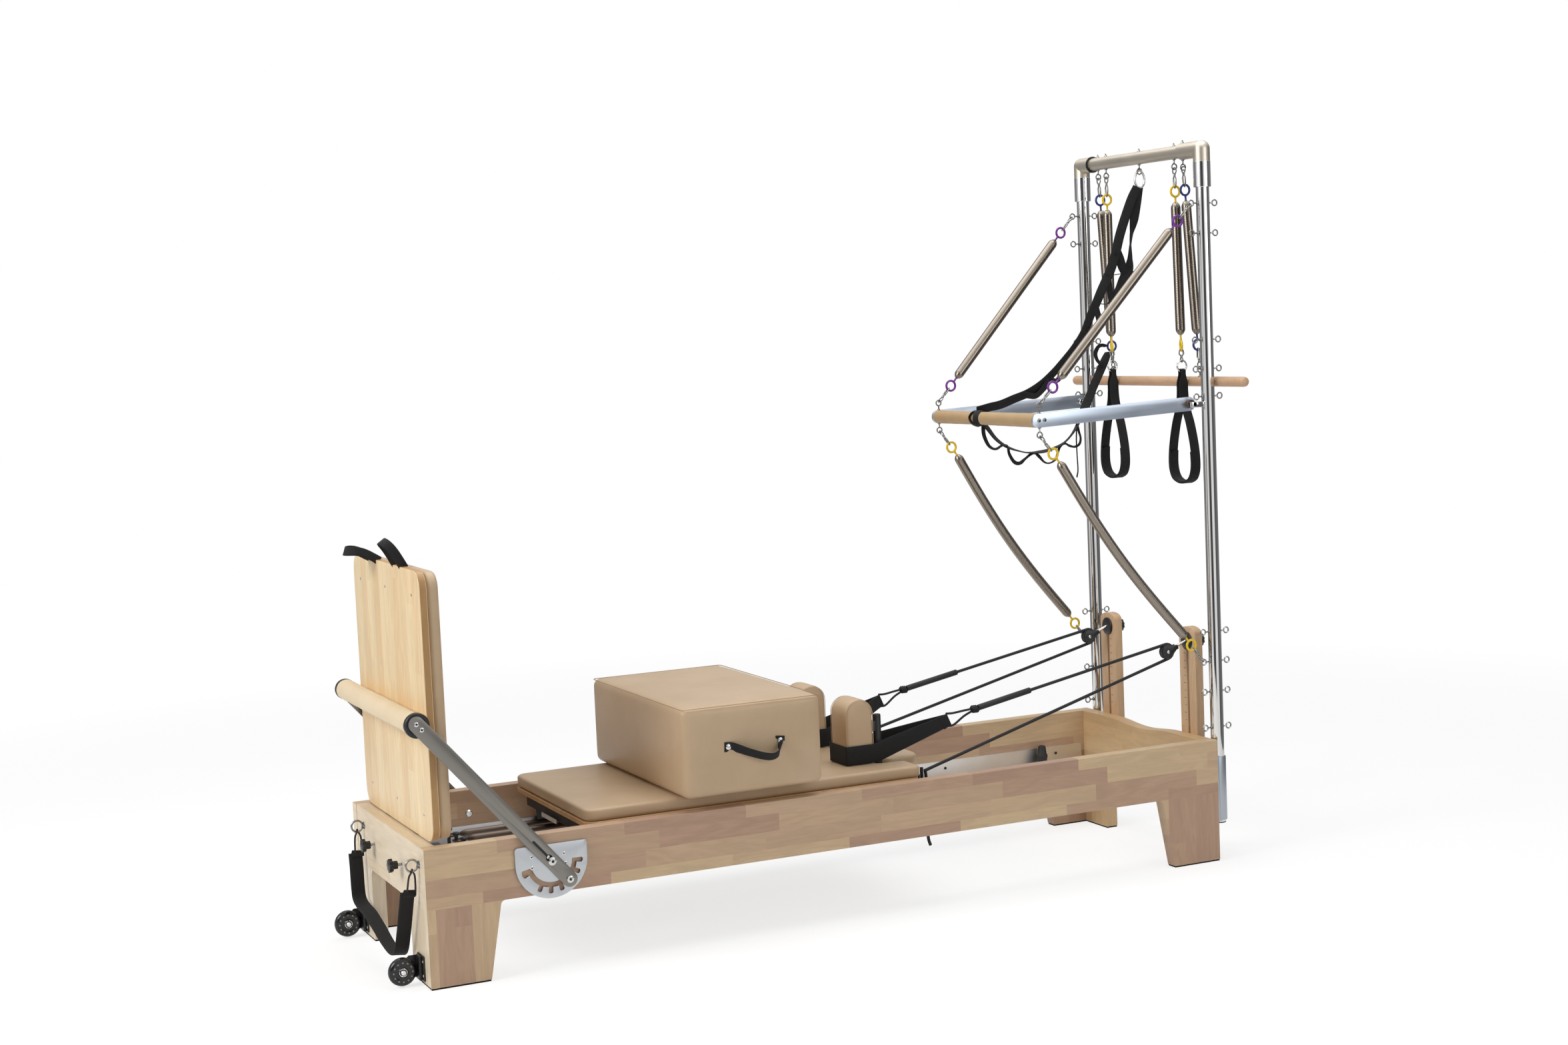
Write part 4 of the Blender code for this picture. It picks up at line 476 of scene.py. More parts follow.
def block(low, high, rounding=0.0, segments=3):
    """A sawn or milled block between two corners."""
    low, high = Vector(low), Vector(high)
    bm = bmesh.new()
    bmesh.ops.create_cube(bm, size=1)
    bmesh.ops.scale(bm, vec=high - low, verts=bm.verts)
    bmesh.ops.translate(bm, vec=(high + low) / 2, verts=bm.verts)
    return eased(bm, rounding, segments) if rounding else bm


# Baked black powder paint: a dull sheen over a fine peel.
black_steel = powder_coat("black_powder_coat", "1C1C1D")
# Oiled spring wire: warm grey-brown, with long bright lines along the coil.
spring_steel = polished_metal("oiled_spring_steel", "8B8277", 0.19)
half = INNER - TRACK_WALL - 0.001
anchor = [block((ANCHOR_X - 0.016, -half, TRACK_LOW + TRACK_WALL + 0.0003),
                (ANCHOR_X + 0.016, half, TRACK_LOW + TRACK_WALL + 0.014), 0.002)]
for y in PACK_Y:
    anchor.append(bar((ANCHOR_X, y, 0.214), (ANCHOR_X, y, PACK_Z + 0.018), 0.005, 24))
    anchor.append(turned([(0, 0), (0.009, 0), (0.0098, 0.002), (0.0098, 0.006), (0.0075, 0.0085), (0, 0.009)],
                         (ANCHOR_X, y, PACK_Z + 0.0135), (0, 0, 1), 28))
settle("spring_anchor_bar_dressed", anchor, "frame", black_steel, "spring_anchor_bar")
coils = []
for y in PACK_Y:
    start, end = Vector((ANCHOR_X + 0.030, y, PACK_Z)), Vector((PACK_END - 0.006, y, PACK_Z))
    coils.append(coil([start.lerp(end, i / 12) for i in range(13)], 0.011, 0.0028, sides=12, rows=4))
    hook = [Vector((ANCHOR_X + 0.0077 + 0.016 * cos(radians(a)), y + 0.016 * sin(radians(a)), PACK_Z))
            for a in range(20, 341, 20)]
    coils.append(bent([start + Vector((0.012, 0.004, 0)), start, *hook, start], 0.003, 10))
coils.append(bar((PACK_END, PACK_Y[0] - 0.02, PACK_Z), (PACK_END, PACK_Y[-1] + 0.02, PACK_Z), 0.005, 24,
                 rounding=0.001))
# The carriage's springs are a darker grey-brown steel, and duller.
dark_wound_steel = polished_metal("dark_oiled_steel", "5C5048", 0.34)
pack = settle("carriage_springs_wound", coils, None, dark_wound_steel, "carriage_springs", 60)
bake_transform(pack)

# Quadrant plates
# Polished aluminium plates screwed outside the rails. A notched arc about the pivot bolt takes the
# foot bar's lock bolt; the sawn edges catch the light.
PIVOT = (0.3252, 0.2847)
NOTCH_STEP = 22.2
STORED = 130.5 - 180
BROAD_NOTCH = -5        # the one at the foot end of the slot
PLATE_OUT = RIM + 0.0003


def about_pivot(radius, angle):
    """A point on the quadrant plate, about its pivot."""
    return (PIVOT[0] + radius * cos(radians(angle)), PIVOT[1] + radius * sin(radians(angle)))


def notched_arc():
    """The slot: a smooth inner edge, and square notches with rounded ends on the outer one."""
    outer = []
    first, last = STORED - 5.3 * NOTCH_STEP, STORED + 2 * NOTCH_STEP + 4.6
    for k in (BROAD_NOTCH, -3, -2, -1, 0, 1, 2):
        middle = STORED + k * NOTCH_STEP
        wide = 4.6 * (1.6 if k == BROAD_NOTCH else 1)
        outer += [about_pivot(0.0675, middle - wide), about_pivot(0.079, middle - wide)]
        outer += [about_pivot(0.079 + 0.0045 * sin(radians(a)), middle - wide * cos(radians(a)))
                  for a in range(25, 156, 26)]
        outer += [about_pivot(0.079, middle + wide), about_pivot(0.0675, middle + wide)]
        if k < 2:
            gap = (NOTCH_STEP * (2 if k == BROAD_NOTCH else 1)) - 2 * wide
            outer += [about_pivot(0.0675, middle + wide + gap * t / 5) for t in range(1, 5)]
    inner = [about_pivot(0.0545, last + (first - last) * t / 26) for t in range(27)]
    return outer + inner


def screw_head(centre, axis, radius=0.0062, height=0.0022):
    """A button head with its hexagon socket."""
    profile = [(0, height * 0.15), (radius * 0.36, height * 0.15), (radius * 0.40, height),
               (radius * 0.62, height), (radius * 0.9, height * 0.62), (radius, 0), (0, 0)]
    return turned(profile, centre, axis, 24)


def socket(centre, axis, radius=0.0062):
    """A black disc at the bottom of a screw head's hexagon socket: painted shade in the recess."""
    return turned([(0, 0.0008), (radius * 0.37, 0.0008), (radius * 0.37, 0), (0, 0)], centre, axis, 6)


plate_edge = ring_arc(PIVOT, 0.0955, -180, 0, 48)
plate_edge += ring_arc((PIVOT[0] + 0.0875, PIVOT[1] + 0.035), 0.008, 0, 90, 6)
plate_edge += ring_arc((PIVOT[0] - 0.0875, PIVOT[1] + 0.035), 0.008, 90, 180, 6)
# Blasted and polished aluminium: light satin grey.
plate_metal = polished_metal("satin_aluminium_plate", "B6B9BC", 0.36)
for side, tag in SIDES:
    faces = sorted((side * PLATE_OUT, side * (PLATE_OUT + 0.008)))
    plate = slab(plate_edge, "y", *faces, holes=[notched_arc()], rounding=0.0008, segments=2)
    settle("quadrant_plate_dressed_" + tag, plate, "frame", plate_metal, "quadrant_plate_" + tag)
    out = side * (PLATE_OUT + 0.008)
    screws = ((0.2734, 0.3002), (0.2729, 0.2725), (0.3585, 0.2991), (0.3623, 0.274))
    heads = [screw_head((x, out - side * 0.0008, z), (0, side, 0), 0.0052, 0.0016) for x, z in screws]
    # Black discs in the screw heads' and the pivot bolt's sockets: painted shade in their recesses.
    painted_shade_bits = [socket((x, out - side * 0.0007, z), (0, side, 0), 0.0058) for x, z in screws]
    painted_shade_bits.append(socket((PIVOT[0], out + side * 0.0090, PIVOT[1]), (0, side, 0), 0.0100))
    settle("quadrant_socket_shade_" + tag, painted_shade_bits, "frame", black_steel)
    pin = bar((PIVOT[0], side * (RIM - 0.004), PIVOT[1]), (PIVOT[0], out + side * 0.0092, PIVOT[1]), 0.006)
    heads += [pin, turned([(0, 0.0012), (0.0035, 0.0012), (0.0040, 0.0036), (0.0062, 0.0036),
                           (0.0088, 0.0026),
                           (0.011, 0.0008), (0.011, 0), (0, 0)], (PIVOT[0], out + side * 0.0083, PIVOT[1]),
                          (0, side, 0), 32)]
    settle("quadrant_bolts_" + tag, heads, "frame", plated_steel)

# Foot bar
# Two flat brushed steel arms turn on the plates' bolts and lock in their notches. They carry a steel core
# in a thick grip of cream foam vinyl, between two black collars.
ARM_IN = PLATE_OUT + 0.008 + 0.0022
ARM_OUT = ARM_IN + 0.006
along = Vector((cos(radians(130.5)), 0, sin(radians(130.5))))
pivot = Vector((PIVOT[0], 0, PIVOT[1]))
grip_axis = pivot + along * 0.501


def soft_vinyl(name, code, shade, grain=1.3, rough=0.46, bump=0.16):
    """Upholstery vinyl: an embossed pebble grain in millimetres, faint mottling, a low sheen."""
    mat = blank(name)
    place = add(mat, "TexCoord").outputs["Object"]
    pebble = add(mat, "TexVoronoi", {"Vector": place, "Scale": 1000.0 / grain, "Randomness": 0.9},
                 feature="SMOOTH_F1")
    crease = add(mat, "TexNoise", {"Vector": place, "Scale": 260.0, "Detail": 3.0})
    mottle = add(mat, "TexNoise", {"Vector": place, "Scale": 7.0, "Detail": 4.0, "Roughness": 0.6})
    blend = add(mat, "MapRange", {"Value": mottle, "From Min": 0.35, "From Max": 0.65})
    colour = add(mat, "Mix", {0: blend, 6: linear(code), 7: linear(shade)}, data_type="RGBA").outputs[2]
    height = add(mat, "Math", {0: pebble, 1: 0.7, 2: crease}, operation="MULTIPLY_ADD")
    dull = add(mat, "MapRange", {"Value": crease, "To Min": rough - 0.06, "To Max": rough + 0.1})
    return surfaced(mat, {"Base Color": colour, "Roughness": dull, "IOR": 1.5, "Sheen Weight": 0.08,
                          "Normal": add(mat, "Bump",
                                        {"Height": height, "Strength": bump, "Distance": 0.0006})})


# Steel brushed along the arm: fine lines that stretch each reflection across them.
arm_steel = polished_metal("brushed_steel", "7F7C76", 0.30, 0)
# Moulded black plastic: smooth, with a clear soft highlight.
black_plastic = powder_coat("moulded_black_plastic", "161617", 0.36)
# Cream vinyl over foam: nearly matt, with a soft pebble grain.
foam_vinyl = soft_vinyl("cream_grip_vinyl", "EFDCBC", "EAD5B3", 1.6, 0.6, 0.12)
flat = ring_arc((-0.068, 0), 0.020, 90, 270, 14) + ring_arc((0.507, 0), 0.020, -90, 90, 14)
keyhole = (ring_arc((0, 0), 0.0066, 75, 285, 14) + ring_arc((0.0135, 0), 0.0085, 250, 339, 7)
           + ring_arc((0.073, 0), 0.0030, -90, 90, 6) + ring_arc((0.0135, 0), 0.0085, 21, 110, 7))
turn = Matrix.Translation(pivot) @ Matrix.Rotation(-radians(130.5), 4, "Y")
metal, collars, trims, painted_shade_bits = [], [], [], []
for side in (-1, 1):
    arm = slab(flat, "y", *sorted((side * ARM_IN, side * ARM_OUT)), holes=[keyhole], rounding=0.0009,
               segments=2)
    arm.transform(turn)
    metal.append(arm)
    # A black sheet in the floor of the arm's keyhole slot: painted shade seen through the slot.
    low, high = sorted((side * (ARM_IN - 0.0012), side * (ARM_IN + 0.0006)))
    liner = block((0.006, low, -0.0075), (0.078, high, 0.0075))
    liner.transform(turn)
    painted_shade_bits.append(liner)
    x, z = grip_axis.x, grip_axis.z
    rim = 0.0315 if side < 0 else 0.0280
    collars.append(turned([(0, 0), (rim, 0), (rim, 0.0135), (rim - 0.0015, 0.0150), (0.0225, 0.0150),
                           (0.0215, 0.0138), (0, 0.0138)],
                          (x, side * (ARM_IN - 0.0148), z), (0, side, 0), 48))
    for reach in (0.5075, 0.488):
        spot = pivot + along * reach
        trims.append(screw_head((spot.x, side * (ARM_OUT - 0.0003), spot.z), (0, side, 0), 0.0068, 0.0026))
        painted_shade_bits.append(socket((spot.x, side * ARM_OUT, spot.z), (0, side, 0), 0.0068))
    lock = pivot - along * 0.0675
    trims.append(bar((lock.x, side * (RIM + 0.001), lock.z), (lock.x, side * ARM_OUT, lock.z), 0.0045, 24))
    trims.append(turned([(0, 0.002), (0.0036, 0.002), (0.0040, 0.0052), (0.0068, 0.0052), (0.0092, 0.0040),
                         (0.0098, 0.0015), (0.0098, 0), (0, 0)], (lock.x, side * ARM_OUT, lock.z),
                        (0, side, 0), 32))
    painted_shade_bits.append(socket((lock.x, side * (ARM_OUT + 0.0015), lock.z), (0, side, 0), 0.0095))
    washer = pivot + along * 0.0150
    trims.append(screw_head((washer.x, side * (ARM_OUT - 0.0040), washer.z), (0, side, 0), 0.0048, 0.0022))
metal.append(bar((grip_axis.x, -ARM_IN, grip_axis.z), (grip_axis.x, ARM_IN, grip_axis.z), 0.0125))
settle("foot_bar_arms", metal, "foot_bar", arm_steel, "foot_bar_frame")
settle("foot_bar_collars", collars, "foot_bar", black_plastic)
settle("foot_bar_screws", trims, "foot_bar", plated_steel)
# The black slot sheets and socket discs are painted shade.
settle("foot_bar_painted_shade", painted_shade_bits, "foot_bar", black_plastic)
end = ARM_IN - 0.0151
profile = [(0.0131, -end), (0.0262, -end), (0.0275, -end + 0.002), (0.0275, -end + 0.01)]
profile += [(0.0275 + 0.0004 * sin(k * 1.7), -end + 0.01 + (2 * end - 0.02) * k / 24) for k in range(1, 24)]
profile += [(0.0275, end - 0.01), (0.0275, end - 0.002), (0.0262, end), (0.0131, end), (0.0131, -end)]
grip = settle("foot_bar_grip_padded", turned(profile, (grip_axis.x, 0, grip_axis.z), (0, 1, 0), 56),
              "foot_bar", foam_vinyl, "foot_bar_grip")

# Casters
# Skate wheels for moving the machine: a glossy black tyre cast on a hub, with a ring of pale marks,
# on a chrome axle bolt in a moulded housing screwed to the leg.
CASTER = (-0.052, 0.275, 0.039)
# Chrome plate mirrors sharply; zinc plate is greyer and blurs a little; the tyre is glossy black resin.
chrome = polished_metal("chrome_plate", "D6D6D5", 0.07)
zinc = polished_metal("zinc_plated_steel", "8F8E8B", 0.20)
glossy_tyre = powder_coat("cast_black_tyre", "101011", 0.2)
pale_mark = powder_coat("pale_tyre_marks", "8E8F90", 0.4)
for side, tag in SIDES:
    cx, cy, cz = CASTER[0], side * CASTER[1], CASTER[2]
    tyre = [(0.0046, -0.0118), (0.0115, -0.0118), (0.0125, -0.0105), (0.0145, -0.0100), (0.0195, -0.0100),
            (0.0215, -0.0112), (0.0285, -0.0110), (0.0325, -0.0090), (0.0352, -0.0055), (0.0360, 0),
            (0.0352, 0.0055), (0.0325, 0.0090), (0.0285, 0.0110), (0.0215, 0.0112), (0.0195, 0.0100),
            (0.0145, 0.0100), (0.0125, 0.0105), (0.0115, 0.0118), (0.0046, 0.0118), (0.0046, -0.0118)]
    wheel = settle("caster_tyre_" + tag, turned(tyre, (cx, cy, cz), (0, 1, 0), 56), "caster_" + tag,
                   glossy_tyre, "caster_wheel_" + tag)
    marks = []
    for k in range(12):
        a = 2 * pi * k / 12
        for way in (-1, 1):
            mark = block((0.0225, -0.0006, -0.0021), (0.0262, 0.0006, 0.0021), 0.0005, 2)
            mark.transform(Matrix.Translation((cx, cy + way * 0.01125, cz)) @ Matrix.Rotation(a, 4, "Y"))
            marks.append(mark)
    settle("caster_marks_" + tag, marks, "caster_" + tag, pale_mark)
    hub = [hoop((cx, cy + way * 0.0117, cz), (0, 1, 0), 0.0098, 0.0010, 32, 8) for way in (-1, 1)]
    settle("caster_hub_" + tag, hub, "caster_" + tag, chrome)
    bolt = bar((cx, cy - 0.0165, cz), (cx, cy + 0.0165, cz), 0.004, 24)
    ends = [turned([(0, 0.0018), (0.0030, 0.0018), (0.0034, 0.0040), (0.0052, 0.0040), (0.0066, 0.0026),
                    (0.0072, 0), (0, 0)], (cx, cy + way * 0.0135, cz), (0, way, 0), 24) for way in (-1, 1)]
    settle("caster_axle_" + tag, [bolt, *ends], "frame", chrome)
    housing = [block((-0.0045, cy - 0.028, 0.012), (-0.0003, cy + 0.028, 0.076), 0.0018)]
    cheek = [(-0.004, 0.0730), (-0.004, 0.0160), (-0.030, 0.0160)] + ring_arc((cx, cz), 0.0130, 300, 95, 10)
    cheek += [(-0.030, 0.0730)]
    housing.append(slab(cheek, "y", cy + 0.0136, cy + 0.0168, rounding=0.0010, segments=2))
    web = [(-0.004, 0.0745), (-0.004, 0.0130), (-0.0125, 0.0130), (-0.0120, 0.0745)]
    housing.append(slab(web, "y", cy - 0.0155, cy + 0.0160, rounding=0.0015, segments=3))
    settle("caster_housing_" + tag, housing, "frame", black_plastic, "caster_bracket_" + tag)
    heads = [screw_head((-0.0043, cy - 0.0222, z), (-1, 0, 0), 0.0040, 0.0018) for z in (0.026, 0.062)]
    settle("caster_screws_" + tag, heads, "frame", chrome)

# Star knobs
# Moulded black knobs with eight flutes on a narrower fluted hub; their plated screws clamp the jump board.


def fluted(centre, radius, depth, count, step=5):
    """A round outline with scooped flutes for the fingers."""
    outline = []
    for a in range(0, 360, step):
        out = radius - depth * (1 - cos(radians(count * a))) / 2
        outline.append((centre[0] + out * cos(radians(a)), centre[1] + out * sin(radians(a))))
    return outline


for side, tag in SIDES:
    y, z = side * 0.135, 0.277
    head = slab(fluted((y, z), 0.018, 0.0032, 8), "x", -0.0360, -0.0250, rounding=0.0018, segments=3)
    neck = slab(fluted((y, z), 0.0108, 0.0016, 8), "x", -0.0255, -0.0120, rounding=0.0008, segments=2)
    cap = turned([(0, 0.0012), (0.010, 0.0010), (0.0120, 0), (0, 0)], (-0.036, y, z), (-1, 0, 0), 32)
    settle("star_knob_head_" + tag, [head, neck, cap], "knob_" + tag, black_plastic,
           "star_knob_" + tag)
    screw = bar((-0.0125, y, z), (0.036, y, z), 0.0038, 20)
    threads = [hoop((-0.0118 + 0.0010 * k, y, z), (1, 0, 0), 0.0036, 0.0005, 20, 4) for k in range(11)]
    collar = turned([(0.0046, 0), (0.0078, 0), (0.0078, 0.0009), (0.0046, 0.0012), (0.0046, 0)],
                    (-0.0001, y, z), (-1, 0, 0), 28)
    settle("star_knob_screw_" + tag, [screw, *threads], "knob_" + tag, plated_steel)
    settle("star_knob_washer_" + tag, collar, "frame", plated_steel)

# Foot strap
# A carrying strap: zinc-plated eyebolts, a thin black cord loop through each, and a broad black webbing band
# folded and sewn at its ends that hangs in a V with a fold at the bottom.


def band_section(width, thickness):
    """The cut end of a webbing strap: flat, with rolled selvedges."""
    w, t = width / 2, thickness / 2
    return [(-w + t, -t), (-w / 3, -t * 0.94), (w / 3, -t * 0.94), (w - t, -t), (w, -t * 0.4), (w, t * 0.4),
            (w - t, t), (w / 3, t * 0.94), (-w / 3, t * 0.94), (-w + t, t), (-w, t * 0.4), (-w, -t * 0.4)]


def woven_cloth(name, code, thread, rough=0.85, depth=0.0007, lean=0.0):
    """Black polyester yarn, thread by thread along the strap, with the threads' crowns painted lighter and
    the grooves darker as painted highlight and shade; lean turns the threads as in a braid.
    """
    mat = blank(name)
    place = add(mat, "UVMap", uv_map="lay")
    turned_place = add(mat, "Mapping", {0: place, "Rotation": (0, 0, lean)})
    warp = add(mat, "TexWave", {"Vector": turned_place, "Scale": 0.314 / thread, "Distortion": 0.6,
                                "Detail": 1.0, "Detail Scale": 3.0}, bands_direction="X")
    weft = add(mat, "TexWave", {"Vector": turned_place, "Scale": 0.314 / thread}, bands_direction="Y")
    knit = add(mat, "Math", {0: warp, 1: weft}, operation="MULTIPLY")
    fluff = add(mat, "TexNoise", {"Vector": add(mat, "TexCoord").outputs["Object"], "Scale": 700.0,
                                  "Detail": 2.0})
    wear = add(mat, "TexNoise", {"Vector": add(mat, "TexCoord").outputs["Object"], "Scale": 30.0,
                                 "Detail": 3.0})
    # The threads' crowns are painted lighter and the grooves between them darker: painted highlight and
    # shade. The wear noise varies the tone at random.
    bright = add(mat, "MapRange", {"Value": knit, "To Min": 0.65, "To Max": 1.5})
    bright = add(mat, "Math", {0: bright,
                               1: add(mat, "MapRange", {"Value": wear, "To Min": 0.75, "To Max": 1.3})},
                 operation="MULTIPLY")
    colour = add(mat, "VectorMath", {0: linear(code)[:3], "Scale": bright}, operation="SCALE")
    height = add(mat, "Math", {0: fluff, 1: 0.25, 2: knit}, operation="MULTIPLY_ADD")
    dull = add(mat, "MapRange", {"Value": fluff, "To Min": rough - 0.1, "To Max": rough + 0.08})
    return surfaced(mat, {"Base Color": colour, "Roughness": dull, "Sheen Weight": 0.03,
                          "Sheen Roughness": 0.4,
                          "Normal": add(mat, "Bump", {"Height": height, "Strength": 0.5, "Distance": depth})})


# Black polyester yarn: matt, ribbed by its threads; a round braid runs aslant. The threads are drawn
# 2 mm wide, twice the real width, so that the render shows them.
webbing = woven_cloth("black_webbing", "080809", 0.0022)
cord_braid = woven_cloth("braided_cord", "141415", 0.0026, 0.75, 0.0006, 0.78)
STRAP_HOOKS = ((-0.302, -0.286), (0.238, 0.231))
STRAP_LINE = [(0.231, 0.238), (0.226, 0.200), (0.224, 0.146), (0.215, 0.119), (0.180, 0.107), (0.109, 0.101),
              (0.026, 0.083), (-0.050, 0.063), (-0.120, 0.051), (-0.165, 0.054), (-0.197, 0.074),
              (-0.224, 0.117), (-0.246, 0.159), (-0.266, 0.200), (-0.286, 0.240)]
eyes, links, folds = [], [], []
for y, end in STRAP_HOOKS:
    eyes.append(turned([(0, 0.004), (0.006, 0.004), (0.0098, 0.0022), (0.0105, 0), (0, 0)],
                       (-0.0002, y, 0.309), (-1, 0, 0), 32))
    eyes.append(hoop((-0.0195, y, 0.309), (0, 1, 0), 0.0150, 0.0028, 40, 12))
    turn = [(-0.0105, 0, -0.066), (-0.0105, -0.001, -0.045), (-0.0085, -0.0035, -0.014),
            (-0.0030, -0.0056, -0.0005), (0, 0, 0.0058), (0.0030, 0.0056, -0.0005), (0.0085, 0.0035, -0.014),
            (0.0105, 0.001, -0.045), (0.0105, 0, -0.066)]
    links.append(bent(flowing([(-0.0195 + u, y + v - (end - y) * w / 0.054, 0.294 + w) for u, v, w in turn],
                              6), 0.0025))
    way = 1 if y > 0 else -1
    upper = [(-0.0300, u + way * 0.0034, w) for u, w in STRAP_LINE if w > 0.112 and u * way > 0]
    folds.append(woven(flowing(upper, 4), (1, 0, 0), band_section(0.036, 0.0034)))
    folds.append(woven([(-0.0265, end - way * 0.004, 0.229), (-0.0245, end, 0.2435),
                        (-0.0265, end + way * 0.006, 0.229)],
                       (1, 0, 0), band_section(0.030, 0.0040)))
strap_line = flowing([(-0.0300, u, w) for u, w in STRAP_LINE], 5)
strap_side = [(1.0, 0.0, 0.12 * sin(11 * p.y)) for p in strap_line]
settle("foot_strap_band", woven(strap_line, strap_side, band_section(0.037, 0.0048)), "frame",
       webbing, "foot_strap")
settle("foot_strap_folds", folds, "frame", webbing)
settle("foot_strap_eyes", eyes, "frame", zinc)
settle("foot_strap_loops", links, "frame", bumper_rubber)

# Jump board
# A board of vertical rubberwood staves with a vinyl pad on its carriage side, two strap loops to lift it
# by, screws along its top and bottom, and two steel tongues that drop behind the end panel.
JUMP_X, JUMP_LOW, JUMP_HIGH = 0.034, 0.3575, 1.0375


def rounded_outline(low, high, radius, steps=8):
    """A rectangle with round corners."""
    (u0, v0), (u1, v1) = low, high
    return (ring_arc((u1 - radius, v1 - radius), radius, 0, 90, steps)
            + ring_arc((u0 + radius, v1 - radius), radius, 90, 180, steps)
            + ring_arc((u0 + radius, v0 + radius), radius, 180, 270, steps)
            + ring_arc((u1 - radius, v0 + radius), radius, 270, 360, steps))


def quilted_grid(bm, spacing, axes=(0, 1, 2)):
    """Cuts a pad's faces into a grid, so that its crown can be pulled smoothly."""
    for axis in axes:
        values = [v.co[axis] for v in bm.verts]
        low, high = min(values), max(values)
        count = int((high - low) / spacing)
        normal = Vector([1.0 if k == axis else 0.0 for k in range(3)])
        for k in range(1, count):
            spot = normal * (low + (high - low) * k / count)
            bmesh.ops.bisect_plane(bm, geom=bm.verts[:] + bm.edges[:] + bm.faces[:], dist=1e-6, plane_co=spot,
                                   plane_no=normal)
    return bm


def crowned(bm, axis, way, amount, sharpness=6.0, waves=0.0):
    """Swells one face of a pad: full in the middle, held down along its edges, with faint stretch waves."""
    lows = Vector([min(v.co[k] for v in bm.verts) for k in range(3)])
    highs = Vector([max(v.co[k] for v in bm.verts) for k in range(3)])
    u, v = [k for k in range(3) if k != axis]
    centre, half = (lows + highs) / 2, (highs - lows) / 2
    for vert in bm.verts:
        rise = way * (vert.co[axis] - centre[axis]) / half[axis]
        if rise <= 0:
            continue
        a, b = (vert.co[u] - centre[u]) / half[u], (vert.co[v] - centre[v]) / half[v]
        lift = max(0.0, 1 - abs(a) ** sharpness) * max(0.0, 1 - abs(b) ** sharpness)
        ripple = waves * sin(vert.co[u] * 31 + 1.3) * sin(vert.co[v] * 27 + 0.4) * lift
        vert.co[axis] += way * min(rise, 1.0) ** 3 * (amount * (lift - 1) + ripple)
    return bm


# The board's staves are the palest and yellowest; its sanded edge is darker all round, partly as its end
# grain and partly as painted shade on its sides.
board_wood = lacquered_wood("rubberwood_jump_board", 2, 1, "F6DEB4", "EECFA2", stave=(0.62, 0.062))
edge_grain_and_shade_wood = lacquered_wood("rubberwood_edge_grain_and_shade", 2, 1, "C39A66", "B88E5A", stave=(0.8, 0.3))
# Tan upholstery vinyl: a fine pebble grain of 1.3 mm and a low sheen on its swells.
tan_vinyl = soft_vinyl("tan_upholstery_vinyl", "CFB391", "C8AC88", 1.3, 0.40)
rim = rounded_outline((-0.321, JUMP_LOW), (0.321, JUMP_HIGH), 0.045, 12)
board = slab(rim, "x", JUMP_X, JUMP_X + 0.020, rounding=0.002, segments=3)
settle("jump_board_wood", board, "jump_board", board_wood, "jump_board_panel")
proud = rounded_outline((-0.3213, JUMP_LOW - 0.0003), (0.3213, JUMP_HIGH + 0.0003), 0.0453, 12)
band = slab(proud, "x", JUMP_X + 0.0021, JUMP_X + 0.0181, holes=[rounded_outline(
    (-0.3195, JUMP_LOW + 0.0015), (0.3195, JUMP_HIGH - 0.0015), 0.0435, 12)])
settle("jump_board_edge", band, "jump_board", edge_grain_and_shade_wood)
pad = slab(rounded_outline((-0.318, JUMP_LOW + 0.003), (0.318, JUMP_HIGH - 0.003), 0.042, 12), "x",
           JUMP_X + 0.0203, JUMP_X + 0.0545, rounding=0.012, segments=5)
pad = crowned(quilted_grid(pad, 0.040, (1, 2)), 0, 1, 0.0030, 8.0)
settle("jump_board_cushion", pad, "jump_board", tan_vinyl, "jump_board_pad", 60)
screws = [screw_head((JUMP_X + 0.0003, y, z), (-1, 0, 0), 0.0045, 0.0012) for y in (-0.25, 0, 0.25)
          for z in (0.975, 0.420)]
settle("jump_board_screws", screws, "jump_board", plated_steel)
tongues = [block((BOARD + 0.0003, y - 0.020, 0.235), (BOARD + 0.0053, y + 0.020, JUMP_LOW + 0.080), 0.0010, 2)
           for y in (-0.135, 0.135)]
settle("jump_board_tongues", tongues, "jump_board", arm_steel)
for y, tag, reach, lean, curl in ((-0.118, "near", 0.080, 0.60, 0.25), (0.118, "far", 0.092, 1.26, -0.35)):
    line, turn_side = [], []
    for i in range(41):
        a = pi * i / 40
        out = reach * sin(a) ** 0.85
        spread = 0.035 * cos(a) * (1 + 0.35 * sin(a) ** 2)
        rise = out * cos(lean) + 0.010 * sin(pi * min(out / reach, 1)) * sin(lean) - 0.004 * cos(a) ** 8
        line.append(Vector((JUMP_X + 0.012 - sin(lean) * out, y + spread - 0.30 * (lean - 0.6) * out,
                            JUMP_HIGH + rise)))
        turn_side.append(Vector((cos(lean), curl * cos(a), sin(lean))) if 0.12 < a < pi - 0.12
                         else Vector((1, curl * cos(a), 0.3)))
    settle("toe_loop_" + tag, woven(line, turn_side, band_section(0.024, 0.0024)), "jump_board",
           webbing)

